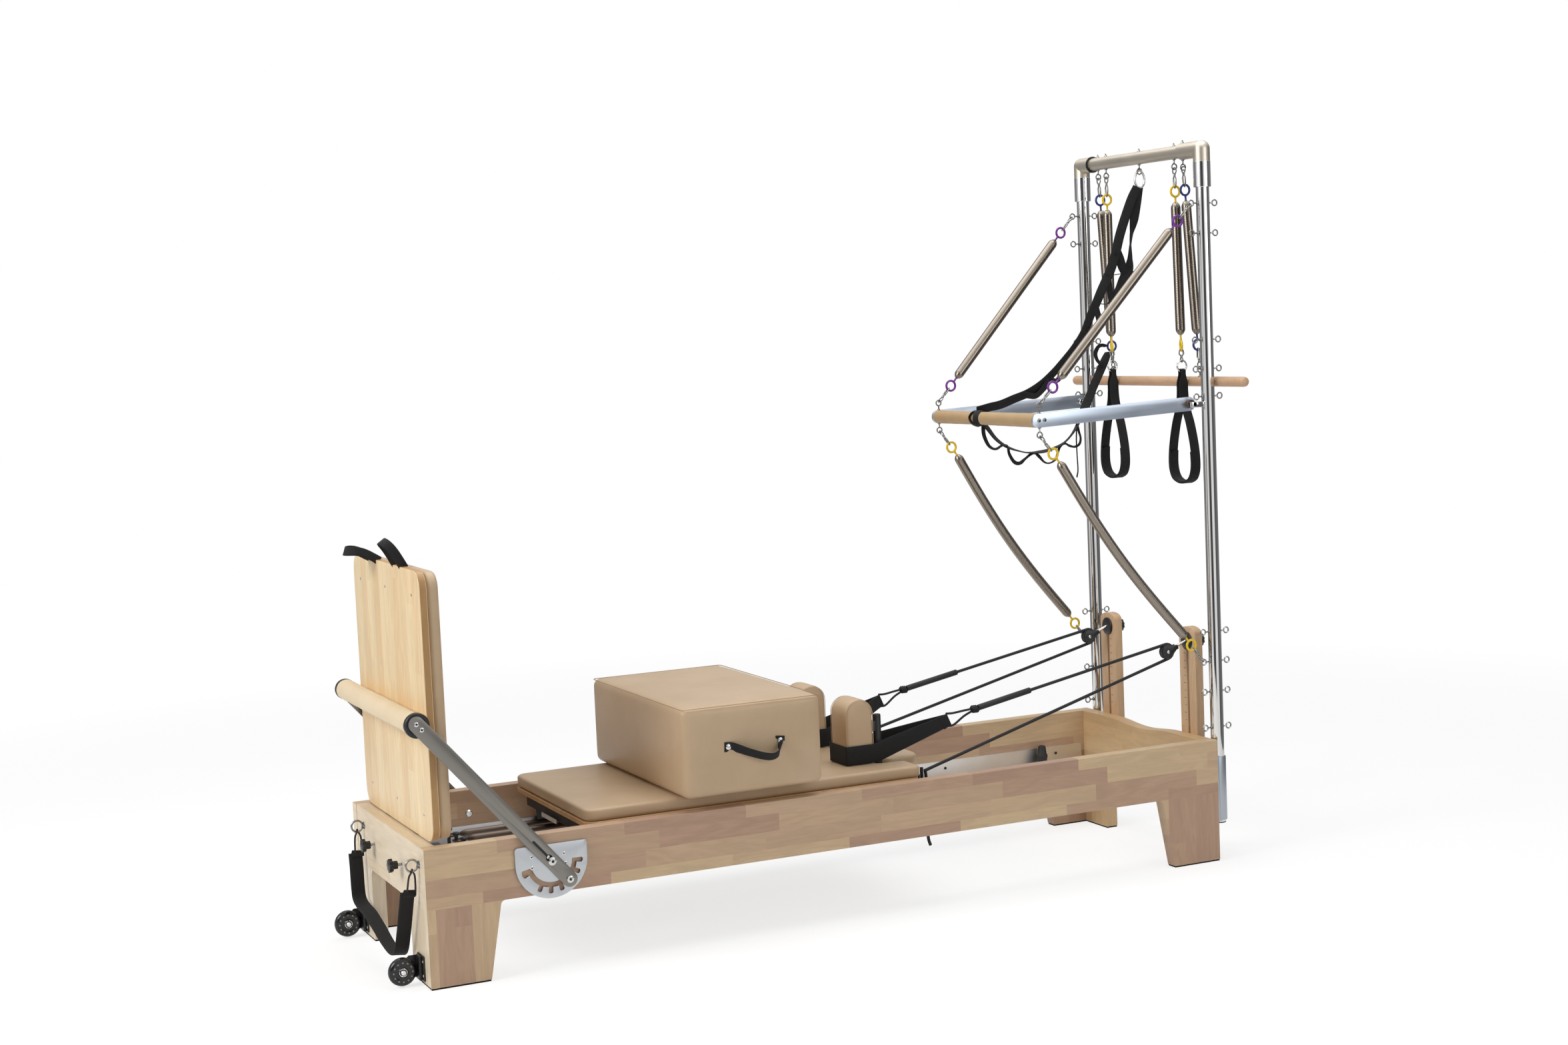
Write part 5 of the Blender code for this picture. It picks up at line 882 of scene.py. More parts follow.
# Carriage deck and under-frame
# A rubberwood deck on a black powder-coated steel frame with four wheels; a grey steel plate in the
# pad's notch takes the shoulder rests' posts.
# The deck's rubberwood is redder and has only a thin coat; the steel plate is a dull grey.
deck_wood = lacquered_wood("rubberwood_deck", 0, 1, "DDB583", "C99B68", stave=(0.5, 0.09))
plate_steel = polished_metal("grey_steel_plate", "A9ACAE", 0.34)
dress(deck_wood, "carriage_deck")
dress(black_steel, "carriage_frame")
dress(black_plastic, "wheelset_foot", "wheelset_head")
DECK_TOP = 0.3525
CLIP = (0.034, 0.306)      # across and up, the middle of the small plate under the deck
notch_plate = slab([(1.341, -0.194), (1.4185, -0.194), (1.4185, 0.194), (1.341, 0.194)], "z", 0.3567, 0.3573,
                   rounding=0.0002, segments=1)
sockets = [turned([(0.0122, 0), (0.0165, 0), (0.0165, 0.0010), (0.0122, 0.0014), (0.0122, 0)],
                  (1.346, side * 0.180, 0.3573), (0, 0, 1), 28) for side in (-1, 1)]
settle("carriage_notch_plate", [notch_plate, *sockets], "carriage", plate_steel)
clip = block((0.4535, CLIP[0] - 0.060, CLIP[1] - 0.006), (0.4562, CLIP[0] + 0.060, CLIP[1] + 0.006), 0.001, 2)
# White plastic: bright and plain.
white_plastic = powder_coat("white_plastic", "D9D9D6", 0.4)
settle("carriage_clip", clip, "carriage", white_plastic)

# Carriage pad
# Tan vinyl pulled tight over dense foam and stapled under the deck, with softly rounded edges and a
# notch at the head end.
PAD_TOP = 0.3878
near_half = ring_arc((0.4765, -0.2635), 0.030, 180, 270, 8) + ring_arc((1.4065, -0.2815), 0.012, 270, 360, 5)
near_half += [(1.4185, -0.202)] + ring_arc((1.348, -0.187), 0.015, 270, 180, 6)
pad = slab(near_half + [(x, -y) for x, y in reversed(near_half)], "z", 0.3528, PAD_TOP, rounding=0.010,
           segments=5)
pad = crowned(quilted_grid(pad, 0.040, (0, 1)), 2, 1, 0.0026, 10.0, 0.0003)
settle("carriage_cushion", pad, "carriage", tan_vinyl, "carriage_pad", 60)

# Headrest
# The same vinyl over a small padded board that tilts on its front edge.
pad = slab(rounded_outline((1.374, -0.158), (1.490, 0.158), 0.035, 10), "z", 0.3571, 0.3911, rounding=0.011,
           segments=5)
pad = crowned(quilted_grid(pad, 0.029, (0, 1)), 2, 1, 0.0030, 5.0)
settle("headrest_cushion", pad, "head_support", tan_vinyl, "headrest", 60)

# Shoulder rests
# Tombstone-shaped foam blocks in the same vinyl, with a seam round each face, on black steel posts.
for side, tag in SIDES:
    bottom, top = PAD_TOP + 0.0003, PAD_TOP + 0.1813
    outline = [(1.241, bottom), (1.327, bottom)] + ring_arc((1.284, top - 0.043), 0.043, 0, 180, 18)
    rest = slab(outline, "y", *sorted((side * 0.100, side * 0.200)), rounding=0.012, segments=5)
    quilted_grid(rest, 0.022, (0, 2))
    for way in (-1, 1):
        crowned(rest, 1, way, 0.0035, 3.0)
    body = "rest_" + tag
    settle("shoulder_pad_" + tag, rest, body, tan_vinyl, "shoulder_rest_" + tag, 60)
    seams = []
    for y in (0.1030, 0.1970):
        arch = ring_arc((1.284, top - 0.043), 0.0408, 0, 180, 24)
        line = [(1.3248, bottom + 0.010), *arch, (1.2432, bottom + 0.010)]
        seams.append(bent([(x, side * y, z) for x, z in line], 0.0009, 8))
    settle("shoulder_seams_" + tag, seams, body, tan_vinyl)
    post = turned([(0, 0), (0.0115, 0), (0.0115, 0.160), (0.0107, 0.1625), (0.0085, 0.163), (0.0080, 0.1615),
                   (0, 0.1610)], (1.346, side * 0.180, 0.3571), (0, 0, 1), 40)
    arm = block((1.322, side * 0.180 - 0.008, bottom + 0.085),
                (1.346, side * 0.180 + 0.008, bottom + 0.115), 0.002)
    settle("shoulder_post_" + tag, [post, arm], body, black_steel)

# Sitting box
# A hollow plywood box padded all round and covered in the same vinyl, seamed along its edges, with a
# webbing handle screwed to each end.
BOX_LOW, BOX_HIGH = Vector((0.695, -0.355, PAD_TOP + 0.0003)), Vector((1.100, 0.325, PAD_TOP + 0.2413))
box = quilted_grid(block(BOX_LOW, BOX_HIGH, 0.0205, 6), 0.042)
crowned(box, 2, 1, 0.0045, 6.0, 0.0004)
for way in (-1, 1):
    crowned(box, 1, way, 0.0040, 5.0, 0.0003)
    crowned(box, 0, way, 0.0040, 5.0, 0.0003)
settle("sitting_box_cover", box, "box", tan_vinyl, "sitting_box", 60)
SEAM_IN = 0.0056
corners = rounded_outline((BOX_LOW.x + SEAM_IN, BOX_LOW.y + SEAM_IN),
                          (BOX_HIGH.x - SEAM_IN, BOX_HIGH.y - SEAM_IN), 0.0120, 6)
seam = bent([(x, y, BOX_HIGH.z - SEAM_IN) for x, y in corners], 0.0012, 6, closed=True)
# The seam's vinyl is a little darker than the cover, as painted shade along the seam.
seam_vinyl_painted_shade = soft_vinyl("seam_vinyl_painted_shade", "B89A75", "AE906C", 1.0)
settle("sitting_box_seam", seam, "box", seam_vinyl_painted_shade)
middle = (BOX_LOW.x + BOX_HIGH.x) / 2
for face, way, tag in ((BOX_LOW.y, -1, "near"), (BOX_HIGH.y, 1, "far")):
    centre_z = BOX_LOW.z + 0.124
    spots = ((-0.085, 0.0008, 0.004), (-0.066, 0.0012, 0.003), (-0.050, 0.0060, -0.002),
             (-0.022, 0.0170, -0.014), (0.012, 0.0250, -0.026), (0.038, 0.0270, -0.031),
             (0.058, 0.0230, -0.026), (0.069, 0.0120, -0.012), (0.072, 0.0034, 0.000),
             (0.074, 0.0012, 0.008), (0.075, 0.0010, 0.016))
    line = flowing([(middle + u, face + way * out, centre_z + up) for u, out, up in spots], 6)
    flat_side = []
    for i in range(len(line)):
        share = i / (len(line) - 1)
        lean = max(0.0, sin(pi * min(share / 0.85, 1.0)))
        flat_side.append(Vector((0.9 * max(0.0, share - 0.62) / 0.38, way * 0.75 * lean,
                                 1 - 0.8 * max(0.0, share - 0.7))))
    settle("box_handle_" + tag, woven(line, flat_side, band_section(0.026, 0.0024)), "box",
           webbing)
    rivets = [turned([(0, 0.0022), (0.0022, 0.0022), (0.0028, 0.0032), (0.0060, 0.0026), (0.0078, 0.0010),
                      (0.0080, 0), (0, 0)], (middle + u, face + way * 0.0021, centre_z + 0.004), (0, way, 0),
                     28) for u in (-0.074, 0.075)]
    settle("box_rivets_" + tag, rivets, "box", plated_steel)

# Uprights
# Chrome-plated steel tubes from near the floor to the top bar, held in grey aluminium channels on the
# rail ends, with forged eyebolts through them front and back and a lug for the push-through bar.
TOWER_X, TOWER_HALF, TOWER_TOP = 2.382, 0.316, 2.048
TUBE = 0.019
EYE_HEIGHTS = (1.895, 1.810, 1.507, 1.424, 1.345, 0.665, 0.578, 0.490, 0.385)
RING, RING_WIRE, SHANK = 0.0082, 0.0021, 0.013
PUSH_PIVOT = (2.333, 1.325)
# Drawn aluminium, left dull and bluish; the tubes' chrome mirrors the room in long streaks.
clamp_metal = polished_metal("grey_aluminium_channel", "A8AEB4", 0.38)
tube_chrome = polished_metal("chromed_tube", "D3D2CF", 0.045)
# Turned brown nylon: a plain, waxy dark brown.
spacer_nylon = powder_coat("brown_nylon", "5A4636", 0.5)


def eyebolt(base, way):
    """A forged eye on a threaded shank with its washer; the eye's hole looks along y."""
    base, way = Vector(base), Vector(way)
    washer = turned([(0.0022, 0), (0.0058, 0), (0.0058, 0.0008), (0.0042, 0.0014), (0.0036, 0.0034),
                     (0.0022, 0.0034)],
                    base, way, 16)
    shank = turned([(0, 0), (0.0021, 0), (0.0021, SHANK - 0.0012), (0.0028, SHANK), (0, SHANK)],
                   base, way, 12)
    return [washer, shank, hoop(base + way * (SHANK + RING), (0, 1, 0), RING, RING_WIRE, 28, 8)]


for side, tag in SIDES:
    y = side * TOWER_HALF
    tube = turned([(0.0165, 0), (TUBE, 0), (TUBE, 1.882), (0.0165, 1.882), (0.0165, 0)], (TOWER_X, y, 0.108),
                  (0, 0, 1), 56)
    settle("upright_tube_" + tag, tube, "frame", tube_chrome, "upright_" + tag)
    eyes = []
    for z in EYE_HEIGHTS:
        for way in (-1, 1):
            eyes += eyebolt((TOWER_X + way * (TUBE - 0.0003), y, z), (way, 0, 0))
    settle("upright_eyebolts_" + tag, eyes, "frame", zinc)
    plug = turned([(0, 0), (0.0164, 0), (0.0188, -0.0012), (0.0185, -0.0030), (0.015, -0.0045), (0, -0.005)],
                  (TOWER_X, y, 0.108), (0, 0, 1), 40)
    settle("upright_plug_" + tag, plug, "frame", black_plastic)
    clamps = [block((FRAME_LENGTH + 0.0003, y - 0.022, 0.112), (TOWER_X - 0.004, y + 0.022, 0.302), 0.002)]
    saddle = [(TOWER_X - 0.012, y - 0.0225)] + ring_arc((TOWER_X, y), 0.0225, -90, 90, 16)
    saddle += [(TOWER_X - 0.012, y + 0.0225), (TOWER_X - 0.012, y + 0.0194)]
    saddle += ring_arc((TOWER_X, y), TUBE + 0.0004, 90, -90, 16) + [(TOWER_X - 0.012, y - 0.0194)]
    clamps.append(slab(saddle, "z", 0.114, 0.300, rounding=0.0006, segments=2))
    settle("upright_clamps_" + tag, clamps, "frame", clamp_metal)
    arm_face = side * 0.294
    lug = [block((PUSH_PIVOT[0] - 0.010, y - 0.006, PUSH_PIVOT[1] - 0.010),
                 (TOWER_X - TUBE + 0.002, y + 0.006, PUSH_PIVOT[1] + 0.006), 0.002),
           bar((PUSH_PIVOT[0], arm_face + side * 0.028, PUSH_PIVOT[1]),
               (PUSH_PIVOT[0], arm_face - side * 0.0085, PUSH_PIVOT[1]), 0.006)]
    lug.append(turned([(0, 0.0016), (0.0046, 0.0016), (0.0050, 0.0050), (0.0078, 0.0050), (0.0102, 0.0036),
                       (0.0110, 0),
                       (0, 0)], (PUSH_PIVOT[0], arm_face - side * 0.0085, PUSH_PIVOT[1]), (0, -side, 0), 32))
    settle("push_pivot_" + tag, lug, "frame", chrome)
    spacer = turned([(0.0066, 0), (0.0125, 0), (0.0125, 0.0085), (0.0066, 0.0085), (0.0066, 0)],
                    (PUSH_PIVOT[0], arm_face + side * 0.0006, PUSH_PIVOT[1]), (0, side, 0), 32)
    settle("push_spacer_" + tag, spacer, "frame", spacer_nylon)

# Tower top bar
# A satin anodised aluminium tube between two cast elbows whose chrome sleeves slip over the uprights;
# five eye hooks hang below it, each with its nut on top.
# Anodised in champagne: a warm grey with a wide, soft highlight.
satin_bar = polished_metal("satin_anodised_aluminium", "CCC3B4", 0.42)
SLEEVE_NEAR, SLEEVE_FAR, ELBOW = -0.220, 0.256, 0.0240
settle("tower_bar_tube", bar((TOWER_X, SLEEVE_NEAR, TOWER_TOP), (TOWER_X, SLEEVE_FAR, TOWER_TOP), TUBE, 48),
       "frame", satin_bar, "tower_top_bar")
elbows, sleeves = [], []
for side, inner_end in ((-1, SLEEVE_NEAR), (1, SLEEVE_FAR)):
    corner = Vector((TOWER_X, side * TOWER_HALF, TOWER_TOP))
    knuckle = bmesh.new()
    bmesh.ops.create_uvsphere(knuckle, u_segments=48, v_segments=24, radius=ELBOW,
                              matrix=Matrix.Translation(corner))
    for start, way in ((Vector((TOWER_X, inner_end, TOWER_TOP)), (0, side, 0)),
                       (corner - Vector((0, 0, 0.036)), (0, 0, 1))):
        socket_end = [(0, 0), (0.0232, 0), (ELBOW, 0.0008), (ELBOW, (corner - start).length)]
        elbows.append(turned(socket_end, start, way, 48))
    elbows.append(knuckle)
    sleeves.append(turned([(0.0193, 0), (0.0236, 0), (0.0246, 0.0012), (0.0246, 0.0720), (0.0236, 0.0730),
                           (0.0193, 0.0730),
                           (0.0193, 0)], (TOWER_X, side * TOWER_HALF, 1.940), (0, 0, 1), 48))
# A black ring at the far elbow's open socket end round the bar: painted shade in the gap between socket and
# bar.
socket_gap_shade = turned([(0.0192, 0), (0.0240, 0), (0.0246, 0.0006), (0.0246, 0.0040), (0.0192, 0.0040), (0.0192, 0)],
              (TOWER_X, SLEEVE_FAR + 0.0002, TOWER_TOP), (0, -1, 0), 48)
settle("tower_elbows", elbows, "frame", satin_bar)
settle("tower_sleeves", sleeves, "frame", chrome)
settle("tower_socket_gap_shade", socket_gap_shade, "frame", bumper_rubber)
hooks = []
LEG_HOOK_Y, ARM_HOOK_Y = 0.224, 0.180
for y in (-LEG_HOOK_Y, -ARM_HOOK_Y, 0.0, ARM_HOOK_Y, LEG_HOOK_Y):
    lift = 0.0048 if y < SLEEVE_NEAR else 0        # the nearest one goes through the thicker elbow
    hooks += eyebolt((TOWER_X, y, TOWER_TOP - TUBE + (-lift if lift else 0.0003)), (0, 0, -1))
    nut = [(TOWER_X + 0.0050 * cos(radians(a)), y + 0.0050 * sin(radians(a))) for a in range(0, 360, 60)]
    hooks.append(slab(nut, "z", TOWER_TOP + TUBE - 0.0008 + lift, TOWER_TOP + TUBE + 0.0030 + lift,
                      rounding=0.0004, segments=2))
    tip = Vector((TOWER_X, y, TOWER_TOP + TUBE + 0.0085 + lift))
    hooks.append(bar((TOWER_X, y, TOWER_TOP + TUBE), tip, 0.0022, 12, rounding=0.0005))
settle("tower_eye_hooks", hooks, "frame", zinc)

# Risers
# Rubberwood boards bolted behind the head panel, with a rounded top, a slot for the pulley's clamp bolt
# and marks beside it for setting both sides to the same height.
# Long rubberwood staves under the same lacquer, and dark printed marks.
riser_wood = lacquered_wood("rubberwood_riser", 2, 1, "E0BE98", "D2AD86", stave=(0.7, 0.055))
mark_ink = powder_coat("printed_marks", "2A2622", 0.6)
RISER_Y, PULLEY_Z = 0.212, 0.628
for side, tag in SIDES:
    mid = side * RISER_Y
    crown = [(mid + 0.040 * cos(radians(a)), 0.650 + 0.020 * sin(radians(a))) for a in range(0, 181, 10)]
    slot_ring = rounded_outline((mid - 0.005, 0.345), (mid + 0.005, PULLEY_Z + 0.014), 0.00495, 6)
    riser = slab([(mid - 0.040, 0.190), (mid + 0.040, 0.190)] + crown, "x", 2.3573, 2.3833, holes=[slot_ring],
                 rounding=0.0022, segments=3)
    settle("riser_board_" + tag, riser, "frame", riser_wood, "riser_" + tag)
    ticks = []
    for k in range(11):
        z, wide = 0.392 + 0.022 * k, 0.010 if k % 2 else 0.006
        ticks.append(block((2.3569, mid - side * (0.0105 + wide), z - 0.0005),
                           (2.35735, mid - side * 0.0095, z + 0.0005)))
    settle("riser_marks_" + tag, ticks, "frame", mark_ink)

# Pulleys
# A moulded sheave between two black cheeks on a steel pin; a clamp bolt with a disc in front and a knob
# behind holds it in the riser's slot.
SHEAVE = (2.285, 0.603)
# Cast grey nylon, worn smooth by the rope: a soft broad highlight.
sheave_nylon = powder_coat("grey_nylon", "3A3B3D", 0.38)
for side, tag in SIDES:
    mid = side * RISER_Y
    sheave_at, anchor_at = Vector((SHEAVE[0], mid, SHEAVE[1])), Vector((2.353, mid, PULLEY_Z))
    reach = (anchor_at - sheave_at).normalized()
    tilt = atan2(reach.z, reach.x)
    lay_out = Matrix.Translation(sheave_at) @ Matrix.Rotation(-tilt, 4, "Y")
    metal = [bar(sheave_at + reach * 0.034, anchor_at, 0.0045, 24),
             bar((2.354, mid, PULLEY_Z), (2.3893, mid, PULLEY_Z), 0.004, 24)]
    ends = [turned([(0, 0), (0.0034, 0), (0.0048, 0.0006), (0.0048, 0.0014), (0.0030, 0.0022), (0, 0.0024)],
                   sheave_at + Vector((0, way * 0.0098, 0)), (0, way, 0), 24) for way in (1, -1)]
    metal += [bar(sheave_at - Vector((0, 0.010, 0)), sheave_at + Vector((0, 0.010, 0)), 0.003, 24), *ends]
    settle("pulley_pins_" + tag, metal, "frame", plated_steel)
    cheek = ring_arc((0, 0), 0.0195, 72, 288, 20) + [(0.012, -0.0150), (0.028, -0.0066), (0.037, -0.006)]
    cheek += [(0.037, 0.006), (0.028, 0.0066), (0.012, 0.0150)]
    plastics = [slab(cheek, "y", low, low + 0.0025, rounding=0.0007, segments=2) for low in (-0.0102, 0.0077)]
    plastics.append(block((0.0285, -0.0078, -0.0052), (0.036, 0.0078, 0.0052), 0.001, 2))
    for shape in plastics:
        shape.transform(lay_out)
    disc = turned([(0, 0.0048), (0.0130, 0.0048), (0.0245, 0.0040), (0.0267, 0.0025), (0.0270, 0.0), (0, 0)],
                  (2.3567, mid, PULLEY_Z), (-1, 0, 0), 48)
    knob = slab(fluted((mid, PULLEY_Z), 0.020, 0.0024, 9, 4), "x", 2.3890, 2.4080, rounding=0.0020,
                segments=3)
    neck = turned([(0, 0), (0.0105, 0), (0.0115, 0.0005), (0.0115, 0.0062), (0, 0.0062)],
                  (2.3837, mid, PULLEY_Z), (1, 0, 0), 32)
    settle("pulley_block_moulded_" + tag, [*plastics, disc, knob, neck], "frame",
           black_plastic, "pulley_block_" + tag)
    groove = [(0.0036, -0.0065), (0.0205, -0.0065), (0.0214, -0.0058), (0.0212, -0.0050)]
    groove += [(0.0212 - 0.0045 * sin(radians(a)), -0.0046 * cos(radians(a))) for a in range(15, 166, 15)]
    groove += [(0.0212, 0.0050), (0.0214, 0.0058), (0.0205, 0.0065), (0.0036, 0.0065), (0.0036, -0.0065)]
    wheel = turned(groove, sheave_at, (0, 1, 0), 56)
    settle("pulley_wheel_" + tag, wheel, "sheave_" + tag, sheave_nylon,
           "pulley_sheave_" + tag)

# Ropes
# Braided black rope from the carriage's cleat round the pulley to a plastic sleeve, a knot and a cord
# triangle sewn to a broad webbing band that is looped over the shoulder rest.
# Braided polyester: black, matt, with strands that run aslant.
rope_braid = woven_cloth("braided_rope", "171719", 0.0024, 0.7, 0.0009, 0.7)
# Soft black rubber: hardly a highlight.
rope_sleeve = powder_coat("rubber_sleeve", "141414", 0.6)


def band_height(x):
    """How high the band's middle lies: level round the shoulder rest, then rising to the knot."""
    return PAD_TOP + 0.028 + (0.484 - PAD_TOP - 0.028) * min(max((x - 1.327) / 0.233, 0), 1)


for side, tag in SIDES:
    mid = side * RISER_Y
    wrap = 0.0218
    top = Vector((SHEAVE[0] - wrap * sin(radians(10)), mid, SHEAVE[1] + wrap * cos(radians(10))))
    knot = Vector((1.636, side * 0.214, 0.506))
    cleat = Vector((1.4471, side * 0.262, 0.362))
    around = [Vector((SHEAVE[0] + wrap * cos(radians(a)), mid, SHEAVE[1] + wrap * sin(radians(a))))
              for a in range(100, -71, -10)]
    route = [cleat] + [cleat.lerp(around[-1], k / 6) for k in range(1, 6)] + list(reversed(around))
    route += [around[0].lerp(knot, k / 6) for k in range(1, 6)] + [knot.lerp(top, 0.022)]
    route = [p - SHIFT for p in route]
    fine = []
    for a, b in zip(route, route[1:]):
        parts = max(1, int((b - a).length / 0.03))
        fine += [a.lerp(b, k / parts) for k in range(parts)]
    fine.append(route[-1])
    rope = settle("rope_line_" + tag, woven([p + SHIFT for p in fine], (0, 1, 0), round_section(0.0045, 14),
                                            0.028), None, rope_braid, "rope_" + tag, 60)
    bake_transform(rope)
    tail = flowing([cleat + Vector((u, side * v, w)) for u, v, w in (
        (0.0006, 0, 0.002), (0.0040, -0.002, -0.020), (0.0060, -0.004, -0.080), (0.0052, -0.0055, -0.150),
        (0.0060, -0.006, -0.190), (0.0120, -0.006, -0.212))], 8)
    settle("rope_tail_" + tag, woven(tail, (0, 1, 0), round_section(0.0045, 14), 0.028), "carriage",
           rope_braid, (), 60)
    way = (top - knot).normalized()
    sleeve = turned([(0.0050, 0), (0.0078, 0), (0.0085, 0.0015), (0.0085, 0.172), (0.0078, 0.1735),
                     (0.0050, 0.1735), (0.0050, 0)], knot + way * 0.013, way, 28)
    settle("rope_sleeve_" + tag, sleeve, "carriage", rope_sleeve)
    turns = []
    for k in range(61):
        a = 2 * pi * k / 20
        turns.append(knot + Vector((0.0085 * (k / 30 - 1) + 0.001 + 0.002 * sin(a * 2), 0.0078 * cos(a),
                                    0.0078 * sin(a))))
    knot_cords = [bent(turns, 0.0036, 10)]
    tie = Vector((1.560, side * 0.206, 0.484))
    for dz in (-0.018, 0.018):
        line = flowing([tie + Vector((-0.010, 0, dz * 0.96)), tie + Vector((0.012, side * 0.001, dz * 0.93)),
                        tie.lerp(knot, 0.6) + Vector((0, 0, dz * 0.42)),
                        knot + Vector((0.002, 0, dz * 0.1))], 6)
        knot_cords.append(bent(line, 0.0032, 10))
    settle("rope_knot_" + tag, knot_cords, "carriage", cord_braid, (), 60)
    half, left, right = 0.0523, 1.2387, 1.333
    centre = side * 0.150
    inner_y, outer_y = centre - side * half, centre + side * half
    path = [(1.553, side * 0.2080), (1.47, side * 0.2058), (1.40, side * 0.2035), (right, outer_y),
            (1.29, outer_y),
            (left + 0.006, outer_y), (left + 0.0012, outer_y - side * 0.0015), (left, outer_y - side * 0.007),
            (left, centre), (left, inner_y + side * 0.007), (left + 0.0012, inner_y + side * 0.0015),
            (left + 0.006, inner_y), (1.29, inner_y), (right, inner_y), (1.40, inner_y + side * 0.030),
            (1.48, inner_y + side * 0.068), (1.553, side * 0.2040)]
    line = flowing([(x, y, 0) for x, y in path], 7)
    for p in line:
        p.z = band_height(p.x)
    band = woven(line, (0, 0, 1), band_section(0.052, 0.0026))
    for vert in band.verts:
        s = min(max((vert.co.x - 1.36) / (1.553 - 1.36), 0), 1)
        height = band_height(vert.co.x)
        vert.co.z = height + (vert.co.z - height) * (1 - 0.32 * s)
    settle("rope_band_" + tag, band, "carriage", webbing)
    stitched = woven([(1.536, side * 0.2056, 0.4745), (1.5585, side * 0.2058, 0.4842)], (-0.35, 0, 1),
                     band_section(0.037, 0.0074))
    settle("rope_band_end_" + tag, stitched, "carriage", webbing)

# Push-through bar
# Two flat aluminium arms on the tower's pivots, tied by a rod in a tan leather-covered handle. Eyebolts
# above and below each arm's end take the springs.
PUSH = Vector((1.831, 0, 1.306))
ARM_Y = (0.286, 0.294)
# Flat aluminium bar, cool grey and softly mirroring; smooth tan leather with hardly a grain.
arm_metal = polished_metal("satin_bar_aluminium", "CDD8E6", 0.36)
handle_leather = soft_vinyl("tan_handle_leather", "C0A278", "B6966C", 1.2, 0.5, 0.05)
hinge = Vector((PUSH_PIVOT[0], 0, PUSH_PIVOT[1]))
reach = (hinge - PUSH).length
tilt = atan2(hinge.z - PUSH.z, hinge.x - PUSH.x)
place = Matrix.Translation(hinge) @ Matrix.Rotation(-tilt, 4, "Y")
arms, trims, caps, painted_shade_bits = [], [], [], []
for side in (-1, 1):
    outline = ring_arc((0, 0), 0.020, 90, -90, 18) + ring_arc((-reach, 0), 0.020, 270, 90, 18)
    arm = slab(outline, "y", *sorted((side * ARM_Y[0], side * ARM_Y[1])),
               holes=[ring_arc((0, 0), 0.0066, 345, 0, 23)[:-1]], rounding=0.0010, segments=2)
    arm.transform(place)
    arms.append(arm)
    mid = side * 0.290
    for way in (-1, 1):
        trims += eyebolt((PUSH.x + 0.003, mid, PUSH.z + way * 0.0196), (0, 0, way))
    for u in (0.0, 0.018):
        trims.append(screw_head((PUSH.x + u, side * (ARM_Y[1] - 0.0003), PUSH.z + 0.04 * u), (0, side, 0),
                                0.0062, 0.0026))
        # A black disc in each screw head's socket: painted shade in the recess.
        painted_shade_bits.append(socket((PUSH.x + u, side * (ARM_Y[1] + 0.0002), PUSH.z + 0.04 * u), (0, side, 0), 0.0085))
    caps.append(turned([(0, 0), (0.0105, 0), (0.0105, 0.0022), (0.0088, 0.0040), (0, 0.0042)],
                       (hinge.x, side * (ARM_Y[0] - 0.0003), hinge.z), (0, -side, 0), 36))
rod = bar((PUSH.x, -ARM_Y[0], PUSH.z), (PUSH.x, ARM_Y[0], PUSH.z), 0.010)
settle("push_arms", [*arms, rod], "push_bar", arm_metal, "push_through_frame")
settle("push_trims", trims, "push_bar", zinc)
settle("push_socket_shade", painted_shade_bits, "push_bar", black_steel)
end = ARM_Y[0] - 0.0005
profile = [(0.0107, -end), (0.0180, -end), (0.0196, -end + 0.0018), (0.0200, -end + 0.006)]
for k in range(1, 24):
    waist = 0.0200 - 0.0010 * sin(pi * k / 24) + 0.00015 * sin(k * 2.3)
    profile.append((waist, -end + 0.006 + (2 * end - 0.012) * k / 24))
profile += [(0.0200, end - 0.006), (0.0196, end - 0.0018), (0.0180, end), (0.0107, end), (0.0107, -end)]
settle("push_handle_grip", turned(profile, PUSH, (0, 1, 0), 48), "push_bar",
                 handle_leather, "push_through_handle")

# Tower springs
# Close-wound steel springs drawn in to a cone at both ends; plastic colour rings tell their strength, and
# zinc-plated snap hooks hang them in the eyes.
SEAT = 0.0029
# Glossy dyed plastic in three colours.
purple = powder_coat("purple_plastic_ring", "7A2A98", 0.32)
yellow = powder_coat("yellow_plastic_ring", "F0CA12", 0.32)
navy = powder_coat("navy_plastic_ring", "1B3079", 0.32)


def snap_hook(eye, ring, way, across):
    """A swivel snap hook: a round eye in the bolt's eye, a short barrel, and the hook in the colour ring."""
    reach = (ring - eye).length - 0.0095
    loop = 0.0088 if reach > 0.05 else 0.0062
    low = SEAT + 2 * loop + 0.0062
    swivel = hoop(eye + way * (SEAT + loop), way.cross(Vector((0, 1, 0))), loop, 0.0019, 28, 8)
    barrel = turned([(0, 0), (0.0030, 0), (0.0038, 0.0008), (0.0038, 0.0052), (0.0030, 0.0062), (0, 0.0064)],
                    eye + way * (SEAT + 2 * loop - 0.0006), way, 16)
    line = []
    for i in range(41):
        a = 2 * pi * i / 40
        u = (low + reach) / 2 + (reach - low) / 2 * cos(a)
        wide = 0.0048 + 0.0026 * (reach - u) / (reach - low)
        line.append(eye + way * u + across * wide * sin(a))
    gate = [eye + way * (low + (reach - low) * t) + across * w for t, w in ((0.20, 0.0066), (0.78, 0.0050))]
    return [swivel, barrel, bent(line[:-1], 0.0020, 12, closed=True), bent(gate, 0.0025, 12)]


